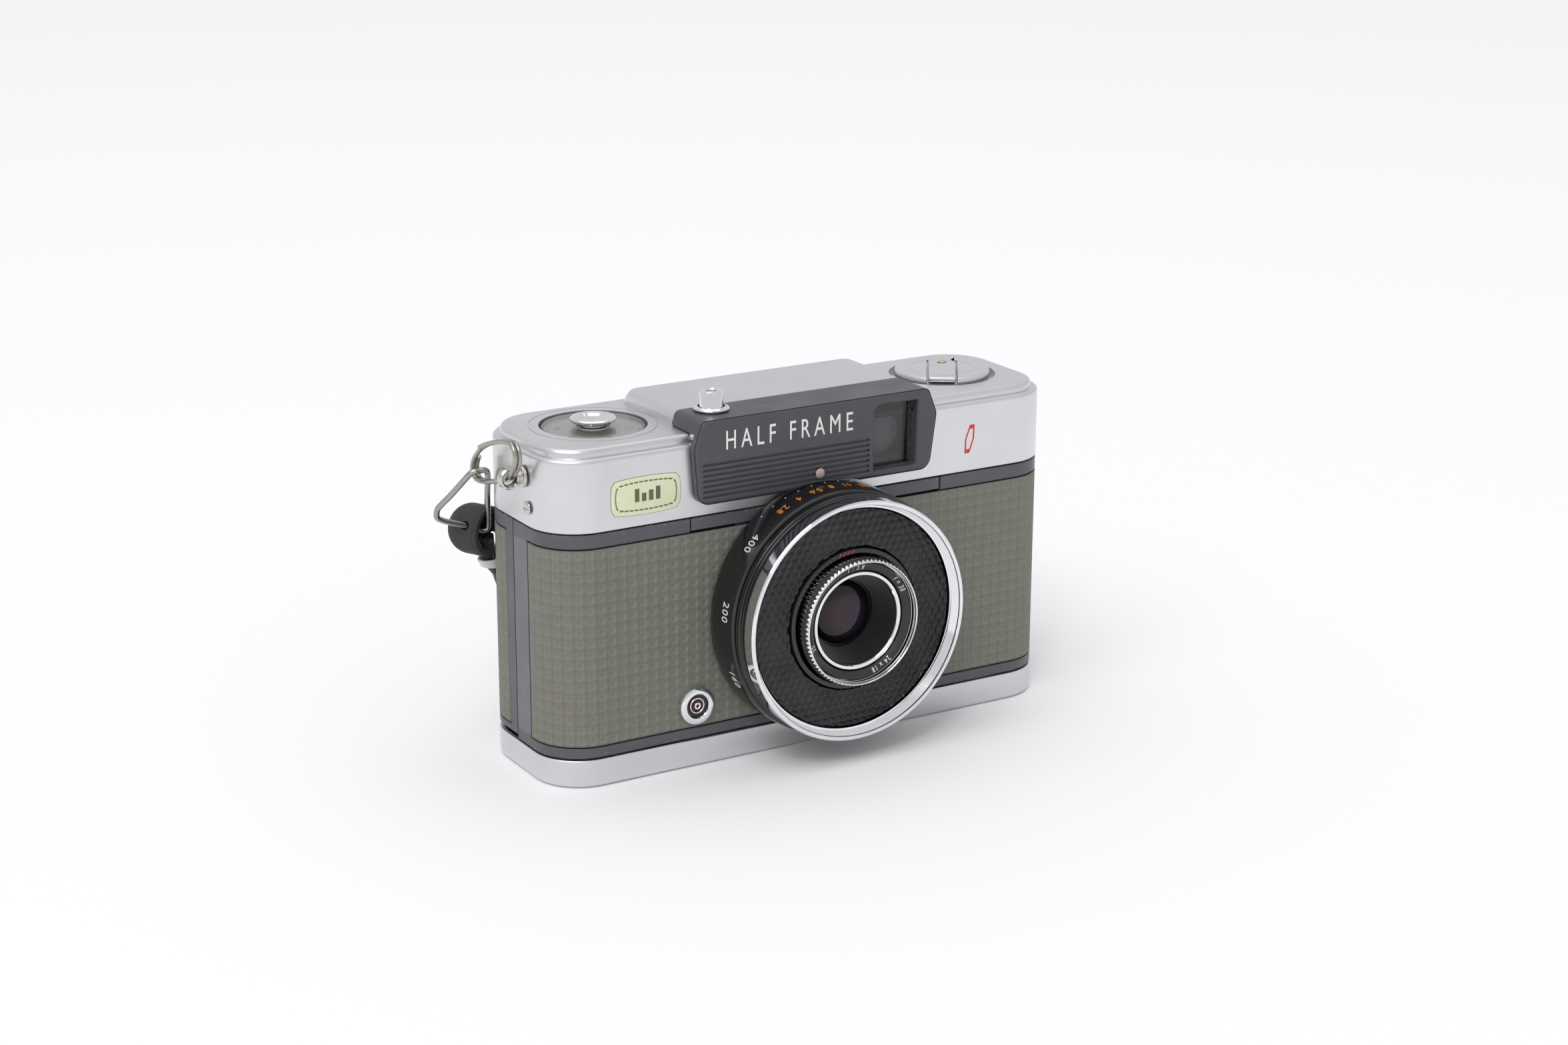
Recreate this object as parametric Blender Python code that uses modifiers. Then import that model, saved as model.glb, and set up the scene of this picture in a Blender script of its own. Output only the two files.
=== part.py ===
"""A half frame camera: removable back, automatic exposure cell round the lens, wrist strap.

The front of the camera looks along -Y, its top is +Z, and the origin is the middle of its base.
Every constant is in millimetres, and MM turns it into Blender's metres.
"""

import math

import bmesh
import bpy
from mathutils import Matrix, Vector

MM = 0.001
GAP = 0.3                       # clearance between pieces that touch

# Body: a rounded box, with tighter corners at the front
BODY_W, BODY_D = 107.0, 31.5
HALF_W, FRONT, BACK = BODY_W / 2, -BODY_D / 2, BODY_D / 2
FRONT_R, BACK_R = 9.1, 10.25
SHELL = 1.45                    # wall of the painted shells
BASE_TOP = 5.3
BAND_LOW, SKIN_LOW, SKIN_HIGH, BAND_HIGH = 5.7, 7.9, 44.6, 47.4
SKIN_T, SKIN_SEAT = 0.55, 0.85  # leatherette, and how deep the shell is cut for it
PARTING = 0.15                  # where the back cover meets the front shell, along Y
SKIN_FRONT_END, SKIN_BACK_END = -5.5, 3.35

# Top cover
COVER_LOW, SHOULDER, DECK = 47.7, 61.05, 62.6
COVER_WALL = 1.1
HUMP_TOP, HUMP_SEAT = 65.35, 64.25
HUMP_LEFT, HUMP_RIGHT = -25.2, 24.0
FASCIA_FRONT, FASCIA_BACK, FASCIA_T = -17.65, -7.8, 1.6
FASCIA_LOW, FASCIA_CREASE, FASCIA_TOP = 50.0, 60.5, 65.45

# Lens: d is the distance forward of the body's front face
LENS_X, LENS_Z = 0.6, 27.65
SPEED_R, BEZEL_R, THREAD_R = 23.3, 22.6, 21.7
BEZEL_FRONT, FOCUS_FRONT, FOCUS_R = 14.45, 15.65, 12.04
CELL_IN, CELL_OUT = 13.6, 20.5

# Controls on the top
BUTTON = (-19.3, -11.15)
BUTTON_R, BUTTON_TOP = 2.2, 69.3
COUNTER = (-37.0, 0.55)
REWIND = (38.3, 0.65)
REWIND_R, REWIND_TOP, RECESS_R, RECESS_FLOOR = 9.1, 63.65, 10.2, 61.3
CRANK_WAY = Vector((0.555, 0.832, 0.0)).normalized()
CRANK_HINGE, CRANK_TIP = -8.3, 4.3      # places along the crank, from the knob's centre
CRANK_AXIS_Z = 63.2

# Film transport
TAKEUP = (-37.0, 3.0)
SPROCKET = (-21.6, 2.6)
CASSETTE = (38.2, 0.9)
RAIL_Y = 6.0

# Strap fittings on the left side
EYE = Vector((-56.4, -4.65, 56.6))
BOOT_MOUTH = Vector((-50.9, 15.0, 40.7))
BOOT_WAY = Vector((-0.451, 0.893, 0.0)).normalized()
BOOT_R, BOOT_LENGTH = 4.7, 8.6
RING_WIRE, LINK_WIRE, STRAP_R = 0.42, 0.55, 1.1

for leftover in list(bpy.data.objects):
    bpy.data.objects.remove(leftover, do_unlink=True)

scene = bpy.context.scene
parts = bpy.data.collections.new("half_frame_camera")
cutters = bpy.data.collections.new("cutters")
scene.collection.children.link(parts)
scene.collection.children.link(cutters)
cutters.hide_render = True


# --- materials ---------------------------------------------------------------------------------

def paint(name, colour, roughness, metallic=0.0):
    material = bpy.data.materials.new(name)
    material.use_nodes = True
    shader = material.node_tree.nodes["Principled BSDF"]
    shader.inputs["Base Color"].default_value = (*colour, 1.0)
    shader.inputs["Roughness"].default_value = roughness
    shader.inputs["Metallic"].default_value = metallic
    return material


SATIN = paint("satin_silver", (0.62, 0.63, 0.66), 0.38, 0.9)
GREY = paint("dark_grey_paint", (0.075, 0.08, 0.092), 0.5)
SKIN = paint("grey_leatherette", (0.19, 0.19, 0.165), 0.7)
CHROME = paint("chrome", (0.8, 0.8, 0.82), 0.1, 1.0)
BLACK = paint("black_enamel", (0.012, 0.012, 0.013), 0.35)
GLASS = paint("coated_glass", (0.05, 0.035, 0.06), 0.05)
CLEAR = paint("clear_plastic", (0.5, 0.5, 0.47), 0.15)
CELL = paint("exposure_cell", (0.05, 0.045, 0.03), 0.3)
RUBBER = paint("black_rubber", (0.02, 0.02, 0.02), 0.7)
STEEL = paint("plain_steel", (0.45, 0.45, 0.46), 0.35, 1.0)
BRASS = paint("brass", (0.65, 0.5, 0.25), 0.35, 1.0)
CASTING = paint("cast_alloy", (0.06, 0.06, 0.065), 0.6, 0.3)
INSULATOR = paint("brown_insulator", (0.12, 0.03, 0.02), 0.5)
CORD = paint("strap_cord", (0.015, 0.015, 0.016), 0.65)
PALE = paint("pale_keeper", (0.6, 0.6, 0.6), 0.5)


# --- shape helpers: sizes in millimetres, and a piece with no material is a cutter ---------------

def place(name, mesh, material):
    piece = bpy.data.objects.new(name, mesh)
    if material is None:
        piece.hide_render = True
        piece.display_type = "WIRE"
        cutters.objects.link(piece)
    else:
        mesh.materials.clear()
        mesh.materials.append(material)
        parts.objects.link(piece)
    return piece


def finish(name, bm, material, smooth=40):
    bmesh.ops.recalc_face_normals(bm, faces=bm.faces)
    mesh = bpy.data.meshes.new(name)
    bm.to_mesh(mesh)
    bm.free()
    mesh.shade_smooth()
    mesh.set_sharp_from_angle(angle=math.radians(smooth))
    return place(name, mesh, material)


def rounded(corners, radii, inset=0.0, steps=6):
    """A convex outline, anticlockwise, moved in by inset, with an arc at each corner."""
    count = len(corners)
    radii = radii if hasattr(radii, "__len__") else [radii] * count
    lines = []
    for here, there in zip(corners, list(corners[1:]) + [corners[0]]):
        start = Vector(here)
        way = (Vector(there) - start).normalized()
        lines.append((start + Vector((-way.y, way.x)) * inset, way))
    outline = []
    for index in range(count):
        (start_in, way_in), (start_out, way_out) = lines[index - 1], lines[index]
        turn = way_in.x * way_out.y - way_in.y * way_out.x
        across = start_out - start_in
        corner = start_in + way_in * ((across.x * way_out.y - across.y * way_out.x) / turn)
        radius = max(radii[index] - inset, 0.05)
        half = math.atan2(turn, way_in.dot(way_out)) / 2
        centre = corner + (way_out - way_in).normalized() * (radius / math.cos(half))
        first = math.atan2(-way_in.x, way_in.y)
        for step in range(steps + 1):
            angle = first + 2 * half * step / steps
            outline.append(centre + Vector((math.cos(angle), math.sin(angle))) * radius)
    return outline


def body_outline(inset=0.0):
    corners = [(-HALF_W, FRONT), (HALF_W, FRONT), (HALF_W, BACK), (-HALF_W, BACK)]
    return rounded(corners, (FRONT_R, FRONT_R, BACK_R, BACK_R), inset, 8)


def box_outline(x_low, x_high, low, high, radius=0.3, inset=0.0, steps=2):
    return rounded([(x_low, low), (x_high, low), (x_high, high), (x_low, high)], radius, inset, steps)


def level(outline, z):
    return [(point.x, point.y, z) for point in outline]


def upright(outline, y):
    return [(point.x, y, point.y) for point in outline]


def loft(name, rings, material, ring_round=False):
    """A skin over rings of points, capped at both ends, or joined end to end."""
    bm = bmesh.new()
    rows = [[bm.verts.new(Vector(point) * MM) for point in ring] for ring in rings]
    pairs = list(zip(rows, rows[1:])) + ([(rows[-1], rows[0])] if ring_round else [])
    for low, high in pairs:
        for index in range(len(low)):
            bm.faces.new((low[index - 1], low[index], high[index], high[index - 1]))
    if not ring_round:
        bm.faces.new(rows[0])
        bm.faces.new(rows[-1])
    bmesh.ops.remove_doubles(bm, verts=bm.verts, dist=0.000001)
    return finish(name, bm, material)


def half_wall(name, profiles, ends, front, material):
    """A wall along the front or back half of the body's outline. Each profile lists (inset, z), and
    ends gives the Y of each profile's end on the body's sides, where the next profile takes over."""
    first = 0 if front else 18
    side = -1 if front else 1
    rings = []
    for profile, end in zip(profiles, ends):
        rings.append([(side * (HALF_W - inset), end, z) for inset, z in profile])
    across = []
    for index in range(first, first + 18):
        across.append([(*body_outline(inset)[index], z) for inset, z in profiles[-1]])
    others = [[(-x, y, z) for x, y, z in ring] for ring in reversed(rings)]
    return loft(name, rings + across + others, material)


def block(name, low, high, material=None):
    bm = bmesh.new()
    bmesh.ops.create_cube(bm, size=1.0)
    size = (Vector(high) - Vector(low)) * MM
    middle = (Vector(high) + Vector(low)) * MM / 2
    bmesh.ops.scale(bm, vec=size, verts=bm.verts)
    bmesh.ops.translate(bm, vec=middle, verts=bm.verts)
    return finish(name, bm, material)


def rod(name, start, end, radius, material=None, sides=32, end_radius=None):
    way = Vector(end) - Vector(start)
    bm = bmesh.new()
    bmesh.ops.create_cone(
        bm, cap_ends=True, segments=sides, radius1=radius * MM,
        radius2=(radius if end_radius is None else end_radius) * MM, depth=way.length * MM)
    turn = Vector((0, 0, 1)).rotation_difference(way).to_matrix().to_4x4()
    middle = (Vector(start) + Vector(end)) * MM / 2
    bmesh.ops.transform(bm, matrix=Matrix.Translation(middle) @ turn, verts=bm.verts)
    return finish(name, bm, material)


def turned(name, profile, material, at, way=(0, 0, 1), steps=24, open_ends=False):
    """A profile of (radius, height) turned about way. It runs from the top down its outer side."""
    mesh = bpy.data.meshes.new(name)
    points = [(radius * MM, 0, height * MM) for radius, height in profile]
    last = len(points) - 1
    edges = [(index, index + 1) for index in range(last)] + ([] if open_ends else [(last, 0)])
    mesh.from_pydata(points, edges, [])
    piece = place(name, mesh, material)
    piece.location = Vector(at) * MM
    piece.rotation_euler = Vector((0, 0, 1)).rotation_difference(Vector(way)).to_euler()
    screw = piece.modifiers.new("turn", "SCREW")
    screw.steps = screw.render_steps = steps
    screw.use_merge_vertices = True
    screw.merge_threshold = 0.00001
    screw.use_smooth_shade = True
    return piece


def lens_turned(name, profile, material, steps=36, open_ends=False):
    """A turned piece on the lens axis, with heights counted forward of the body's front face."""
    return turned(name, profile, material, (LENS_X, FRONT, LENS_Z), (0, -1, 0), steps, open_ends)


def tube(outer, inner, front, back):
    """The profile of a plain ring."""
    return [(outer, front), (outer, back), (inner, back), (inner, front)]


def pivot(piece, point):
    """Puts a moving piece's origin on its joint's axis and leaves its shape where it is."""
    offset = Vector(point) * MM
    piece.data.transform(Matrix.Translation(-offset))
    piece.location = offset
    return piece


def change(piece, other, operation):
    modifier = piece.modifiers.new(operation.lower(), "BOOLEAN")
    modifier.operation = operation
    modifier.object = other
    return piece


def cut(piece, *others):
    for other in others:
        change(piece, other, "DIFFERENCE")
    return piece


def join(piece, *others):
    for other in others:
        change(piece, other, "UNION")
    return piece


def smooth_line(points, spacing, closed=False):
    """Points at about the spacing along a smooth curve through the points given."""
    points = [Vector(point) for point in points]
    count = len(points)
    found = []
    for index in range(count if closed else count - 1):
        if closed:
            a, b, c, d = (points[(index + k) % count] for k in (-1, 0, 1, 2))
        else:
            a, b = points[max(index - 1, 0)], points[index]
            c, d = points[index + 1], points[min(index + 2, count - 1)]
        pieces = max(1, round((c - b).length / spacing))
        for piece in range(pieces):
            t = piece / pieces
            found.append(0.5 * (2 * b + (c - a) * t + (2 * a - 5 * b + 4 * c - d) * t * t
                                + (3 * b - a - 3 * c + d) * t ** 3))
    return found if closed else found + [points[-1]]


def wire(name, points, radius, material, closed=False, resolution=2):
    """A round wire along the points, made a mesh so that it can be cut or be a cutter."""
    curve = bpy.data.curves.new(name + "_line", "CURVE")
    curve.dimensions = "3D"
    curve.bevel_depth = radius * MM
    curve.bevel_resolution = resolution
    curve.use_fill_caps = not closed
    spline = curve.splines.new("POLY")
    spline.points.add(len(points) - 1)
    for spot, point in zip(spline.points, points):
        spot.co = (*(Vector(point) * MM), 1.0)
    spline.use_cyclic_u = closed
    line = bpy.data.objects.new(name + "_line", curve)
    scene.collection.objects.link(line)
    graph = bpy.context.evaluated_depsgraph_get()
    mesh = bpy.data.meshes.new_from_object(line.evaluated_get(graph))
    bpy.data.objects.remove(line, do_unlink=True)
    bm = bmesh.new()
    bm.from_mesh(mesh)
    bmesh.ops.remove_doubles(bm, verts=bm.verts, dist=0.000001)
    return finish(name, bm, material)


# --- base and removable back ---------------------------------------------------------------------

TRIPOD, LOCK = (-25.0, 0.0), (22.0, 0.0)
LOCK_R, BUSH_R = 8.6, 5.0
KEY_HINGE = (LOCK[0], 2.0, 0.475)


def base_cover():
    sizes = ((0.9, 0.9), (0.9, BASE_TOP), (0, BASE_TOP), (0, 0.9), (0.3, 0.3), (0.95, 0))
    tray = loft("base_cover", [level(body_outline(inset), z) for inset, z in sizes], SATIN)
    cut(tray, rod("tripod_hole", (*TRIPOD, -1), (*TRIPOD, 2), BUSH_R + GAP),
        rod("lock_hole", (*LOCK, -1), (*LOCK, 2), LOCK_R + GAP))


def tripod_bush():
    profile = [(BUSH_R, 1.2), (BUSH_R, 0.2), (3.4, 0.2), (3.1, 0.5), (3.1, 4.8), (4.2, 4.8), (4.2, 1.2)]
    turned("tripod_bush", profile, BRASS, (*TRIPOD, 0))


def back_lock():
    x, y = LOCK
    disc = pivot(rod("lock_disc", (x, y, 0.2), (x, y, 1.9), LOCK_R, STEEL, 32), (x, y, 1))
    cut(disc, block("key_seat", (x - 6.2, y - 2.6, -1), (x + 6.2, y + 2.6, 1.05)))
    key = loft("lock_key", [level(box_outline(x - 5.8, x + 5.8, y - 2.2, y + 2.2, 1.0, inset, 3), z)
                            for inset, z in ((0.1, 0.25), (0, 0.35), (0, 0.7))], STEEL)
    pivot(key, KEY_HINGE)


def shell_profile(seat, low):
    """A painted shell's wall, with the leatherette's seat as deep as seat."""
    outer, inner = 0.05, 0.05 + SHELL
    seat_low, seat_high = SKIN_LOW - GAP, SKIN_HIGH + GAP
    return [(outer, low), (outer, seat_low), (seat, seat_low), (seat, seat_high), (outer, seat_high),
            (outer, BAND_HIGH), (inner, BAND_HIGH), (inner, low)]


def skin_profile():
    return [(0, SKIN_LOW), (0, SKIN_HIGH), (SKIN_T, SKIN_HIGH), (SKIN_T, SKIN_LOW)]


def shell(name, low, parting, seat_end, front):
    flat, seated = shell_profile(0.05, low), shell_profile(SKIN_SEAT, low)
    return half_wall(name, (flat, flat, seated), (parting, seat_end, seat_end), front, GREY)


def back_cover():
    shell("back_cover", BAND_LOW + 0.7, PARTING + GAP, SKIN_BACK_END - GAP, False)
    half_wall("back_leatherette", [skin_profile()], [SKIN_BACK_END], False, SKIN)


def pressure_plate():
    loft("pressure_plate", [upright(box_outline(-14, 15, 12, 43, 1.5, 0, 3), y) for y in (6.9, 7.6)],
         STEEL)


# --- front shell, plate and leatherette ----------------------------------------------------------

PLATE_LEFT, PLATE_RIGHT, STEM_HALF = -26.05, 27.05, 17.0
SOCKET = (-25.5, 12.1)


def socket_rod(name, radius, back, front, material=None, sides=32):
    x, z = SOCKET
    return rod(name, (x, FRONT - back, z), (x, FRONT - front, z), radius, material, sides)


def front_shell():
    piece = shell("front_shell", BAND_LOW, PARTING, SKIN_FRONT_END + GAP, True)
    cut(piece,
        block("plate_stem_gap", (LENS_X - STEM_HALF - GAP, -20, 8.9),
              (LENS_X + STEM_HALF + GAP, -10, 60)),
        block("plate_head_gap", (PLATE_LEFT - GAP, -20, SKIN_HIGH - GAP), (PLATE_RIGHT + GAP, -10, 60)),
        socket_rod("socket_hole", 2.9, -3, 3))


def front_plate():
    face, seat, rear = FRONT + 0.05, FRONT + SKIN_SEAT, FRONT + 0.05 + SHELL
    plate = block("front_plate", (PLATE_LEFT, face, SKIN_HIGH + 2 * GAP),
                  (PLATE_RIGHT, rear, BAND_HIGH), GREY)
    stem = block("plate_stem", (LENS_X - STEM_HALF, seat, 9.2),
                 (LENS_X + STEM_HALF, rear, SKIN_HIGH + 1.2))
    join(plate, stem)
    cut(plate, rod("rear_cell_hole", (LENS_X, -20, LENS_Z), (LENS_X, -10, LENS_Z), 7.2))


def front_leatherette(name, side):
    skin = half_wall(name, [skin_profile()], [SKIN_FRONT_END], True, SKIN)
    away = -side * 60
    cut(skin, block(name + "_side", (min(LENS_X, away), -20, 0), (max(LENS_X, away), 20, 60)),
        rod(name + "_lens_hole", (LENS_X, -20, LENS_Z), (LENS_X, -10, LENS_Z), SPEED_R + 0.45, None, 64))
    if side < 0:
        cut(skin, socket_rod("skin_socket_hole", 3.75, -3, 3))


def sync_socket():
    x, z = SOCKET
    profile = [(2.2, 1.2), (3.4, 1.2), (3.55, 1.0), (3.55, -0.5), (2.2, -0.5)]
    turned("sync_socket_ring", profile, CHROME, (x, FRONT, z), (0, -1, 0), 28)
    turned("sync_insulator", [(0, 0.3), (0.3, 0.3), (0.3, 0.95), (0.6, 0.95), (0.6, 0.7), (1.85, 0.7),
                              (1.85, -1.6), (0, -1.6)], INSULATOR, (x, FRONT, z), (0, -1, 0), 20, True)


# --- body casting ---------------------------------------------------------------------------------

def room(name, middle, radius, top):
    """A round room for a spool, open to the back."""
    x, y = middle
    outline = [(x + radius * math.cos(angle), y + radius * math.sin(angle))
               for angle in (math.pi * (1 + step / 20) for step in range(21))]
    outline += [(x + radius, 20), (x - radius, 20)]
    return loft(name, [[(px, py, z) for px, py in outline] for z in (3, top)], None)


def body_casting():
    casting = loft("body_casting", [level(body_outline(1.85), z) for z in (6.0, BAND_HIGH)], CASTING)
    rear = block("film_side", (-60, RAIL_Y, 0), (60, 20, 60))
    gate = loft("light_box", [upright(box_outline(LENS_X - w, LENS_X + w, LENS_Z - h, LENS_Z + h, 0.2), y)
                              for w, h, y in ((8.0, 9.0, -15.0), (9.0, 12.0, 6.5))], None)
    cut(casting, rear, gate, room("cassette_room", CASSETTE, 12.8, 46.2),
        room("takeup_room", TAKEUP, 10.8, 45.6), room("sprocket_room", SPROCKET, 4.6, 45.3),
        rod("takeup_axle_hole", (*TAKEUP, 40), (*TAKEUP, 60), 2.0, None, 24),
        rod("sprocket_axle_hole", (*SPROCKET, 40), (*SPROCKET, 60), 1.6, None, 16),
        rod("rewind_shaft_hole", (*REWIND, 40), (*REWIND, 60), 3.0, None, 24))


# --- top cover and what is fixed to it --------------------------------------------------------------

WINDOW = (11.2, 20.8, 51.3, 63.6)       # viewfinder opening: left, right, low, high
EYEPIECE = (15.9, 56.0)
UNDO = (-14.0, 53.0)                    # rewind release button on the rear wall
SCREW = (-6.3, 51.2)                    # the side screws' Y and Z


def hump_outline(inset, front, rear):
    return rounded([(HUMP_LEFT, front), (HUMP_RIGHT, front), (HUMP_RIGHT, rear), (HUMP_LEFT, rear)],
                   (0.4, 0.4, 2.6, 2.6), inset, 4)


def top_cover():
    steps = ((0, COVER_LOW), (0, 60.3), (0.25, 60.85), (0.85, SHOULDER), (1.3, SHOULDER + 0.05),
             (1.35, 61.95), (1.65, 62.42), (2.3, DECK))
    cover = loft("top_cover", [level(body_outline(inset), z) for inset, z in steps], SATIN)
    hump = loft("hump", [level(hump_outline(inset, -15.3, rear), z) for inset, rear, z in
                         ((0, 13.9, 61.5), (0.15, 13.2, 63.6), (0.4, 12.2, 64.6), (0.9, 11.6, 65.15),
                          (1.6, 11.2, HUMP_TOP))], None)
    room = loft("cover_room", [level(body_outline(inset), z) for inset, z in
                               ((COVER_WALL, 40), (COVER_WALL, 59.9), (2.6, 61.5))], None)
    hump_room = loft("hump_room", [level(hump_outline(1.3, -15.9, rear), z) for rear, z in
                                   ((13.4, 55), (12.6, 62.5), (11.6, HUMP_SEAT - 0.9))], None)
    cup = rod("rewind_cup", (*REWIND, RECESS_FLOOR - 1.0), (*REWIND, 62.0), RECESS_R + 1.0, None, 40)
    join(cover, hump)
    cut(cover, room, hump_room)
    join(cover, cup)
    left, right, low, high = WINDOW
    cut(cover,
        rod("rewind_recess", (*REWIND, RECESS_FLOOR), (*REWIND, 66), RECESS_R, None, 48),
        rod("rewind_bore", (*REWIND, 58), (*REWIND, 66), 2.6, None, 24),
        block("fascia_seat", (-40, -20, HUMP_SEAT), (40, FASCIA_BACK + GAP, 70)),
        block("fascia_left", (-40, -20, DECK + 0.01), (HUMP_LEFT + 0.95, FASCIA_BACK + GAP, 70)),
        block("fascia_right", (HUMP_RIGHT - 0.95, -20, DECK + 0.01), (40, FASCIA_BACK + GAP, 70)),
        rod("button_bore", (*BUTTON, 58), (*BUTTON, 70), 3.3, None, 32),
        rod("counter_bore", (*COUNTER, 58), (*COUNTER, 70), 9.8, None, 48),
        block("finder_opening", (left, -20, low), (right, -12, high)),
        loft("eyepiece_opening",
             [upright(box_outline(EYEPIECE[0] - 4.2, EYEPIECE[0] + 4.2, EYEPIECE[1] - 3.8,
                                  EYEPIECE[1] + 3.8, 1.0, 0, 3), y) for y in (12.0, 17.0)], None),
        rod("undo_bore", (UNDO[0], 10, UNDO[1]), (UNDO[0], 18, UNDO[1]), 2.5, None, 24),
        block("wheel_slot", (TAKEUP[0] - 10.5, 11, 49.4), (TAKEUP[0] + 10.5, 18, 55.3)))
    for side in (-1, 1):
        cut(cover, rod(f"screw_seat_{side}", (side * 60, *SCREW), (side * 51, *SCREW), 0.9, None, 16))
    cut(cover, rod("index_seat", (LENS_X - 1, -20, 52.6), (LENS_X - 1, -12, 52.6), 0.9, None, 16))


def fascia_outline(inset=0.0):
    corners = [(-25.5, FASCIA_LOW), (23.6, FASCIA_LOW), (25.1, FASCIA_CREASE), (23.2, FASCIA_TOP),
               (-24.7, FASCIA_TOP), (-26.4, FASCIA_CREASE)]
    return rounded(corners, (2.4, 2.4, 2.5, 1.4, 1.4, 2.5), inset, 4)


def front_fascia():
    steps = ((0, FASCIA_BACK), (0, FASCIA_FRONT + 0.9), (0.25, FASCIA_FRONT + 0.3),
             (0.75, FASCIA_FRONT))
    fascia = loft("front_fascia", [upright(fascia_outline(inset), y) for inset, y in steps], GREY)
    left, right, low, high = WINDOW
    rear = FASCIA_FRONT + FASCIA_T
    opening = loft("fascia_opening", [upright(rounded(
        [(left, low), (right - 0.5, low), (right, high), (left, high)], (0.3, 0.3, 0.5, 1.6), 0, 4), y)
        for y in (-20, -14)], None)
    cut(fascia, block("under_lip", (HUMP_LEFT + 0.6, rear, 45), (HUMP_RIGHT - 0.6, 0, HUMP_SEAT + GAP)),
        block("under_cheeks", (-40, rear, 45), (40, 0, DECK + GAP)), opening,
        rod("collar_hole", (*BUTTON, 60), (*BUTTON, 70), 3.0, None, 32),
        rod("ring_notch", (LENS_X, -20, LENS_Z), (LENS_X, -12, LENS_Z), SPEED_R + 0.35, None, 64),
        rod("index_hole", (LENS_X - 1, -20, 52.6), (LENS_X - 1, -12, 52.6), 0.9, None, 16))
    for index in range(6):
        z = 52.05 + 0.98 * index
        cut(fascia, block(f"rib_groove_{index}", (-24.6, -20, z - 0.2),
                          (10.3, FASCIA_FRONT + 0.35, z + 0.2)))


def index_pin():
    turned("index_pin", [(0, 2.35), (0.75, 2.15), (0.95, 1.95), (0.5, 1.95), (0.5, 0.6), (0, 0.6)],
           CHROME, (LENS_X - 1, FRONT, 52.6), (0, -1, 0), 20, True)


def finder():
    left, right, low, high = WINDOW
    loft("viewfinder_window", [upright(box_outline(left + GAP, right - GAP, low + GAP, high - GAP, 0.4), y)
                               for y in (-15.5, -14.7)], GLASS)
    tunnel = block("viewfinder_tube", (left, -14.35, low + 0.5), (right, 12.6, 61.2), CASTING)
    cut(tunnel, block("finder_way", (left + 0.8, -20, low + 1.3), (right - 0.8, 20, 60.4)))
    x, z = EYEPIECE
    rim = loft("eyepiece", [upright(box_outline(x - 5, x + 5, z - 4.6, z + 4.6, 1.4, inset, 3), y)
                            for inset, y in ((0, 16.05), (0, 16.6), (0.4, 16.9))], BLACK)
    neck = loft("eyepiece_neck", [upright(box_outline(x - 3.9, x + 3.9, z - 3.5, z + 3.5, 0.9, 0, 3), y)
                                  for y in (13.2, 16.3)], None)
    join(rim, neck)
    cut(rim, loft("eyepiece_way", [upright(box_outline(x - 3.1, x + 3.1, z - 2.7, z + 2.7, 0.6, 0, 3), y)
                                   for y in (12, 18)], None))
    turned("eyepiece_lens", [(0, 1.1), (2.3, 0.5), (2.3, 0), (0, 0)], GLASS, (x, 13.6, z), (0, 1, 0),
           24, True)


def cover_screw(name, side):
    def along(start, end, radius, suffix, material=None, sides=12):
        return rod(name + suffix, (side * start, *SCREW), (side * end, *SCREW), radius, material, sides)

    screw = along(52.4, 53.75, 0.55, "", STEEL)
    join(screw, along(53.6, 53.9, 0.55, "_neck"), along(53.8, 54.15, 1.25, "_head", None, 16))
    low, high = sorted((side * 53.95, side * 54.4))
    cut(screw, block(name + "_slot", (low, -8, 51.0), (high, -5, 51.4)))


# --- shutter release --------------------------------------------------------------------------------

def release():
    x, y = BUTTON
    turned("release_collar", [(3.3, 65.75), (3.3, 66.1), (3.0, 66.35), (2.5, 66.35), (2.5, 62.4),
                              (2.7, 62.4), (2.7, 65.75)][::-1], CHROME, (x, y, 0))
    turned("release_button", [(0, BUTTON_TOP - 1.2), (1.0, BUTTON_TOP - 1.2), (1.0, BUTTON_TOP - 0.35),
                              (1.35, BUTTON_TOP), (1.85, BUTTON_TOP), (BUTTON_R, BUTTON_TOP - 0.35),
                              (BUTTON_R, 61.0), (1.2, 61.0), (1.2, 58.6), (0, 58.6)], CHROME, (x, y, 0),
           (0, 0, 1), 24, True)


# --- frame counter and film advance ------------------------------------------------------------------

def counter():
    x, y = COUNTER
    turned("counter_window", [(3.0, 62.35), (9.4, 62.35), (9.4, 61.75), (3.0, 61.75)], CLEAR, (x, y, 0),
           (0, 0, 1), 36)
    turned("counter_dial", [(0, 61.3), (8.9, 61.3), (8.9, 60.7), (0, 60.7)], PALE, (x, y, 0),
           (0, 0, 1), 36, True)
    turned("counter_knob", [(0, 63.5), (2.1, 63.65), (2.6, 64.0), (3.6, 64.1), (4.2, 63.85), (4.2, 63.4),
                            (3.3, 62.95), (2.4, 62.8), (2.4, 61.6), (0, 61.6)], CHROME, (x, y, 0),
           (0, 0, 1), 28, True)


WHEEL_R, WHEEL_TEETH = 14.2, 40


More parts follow.
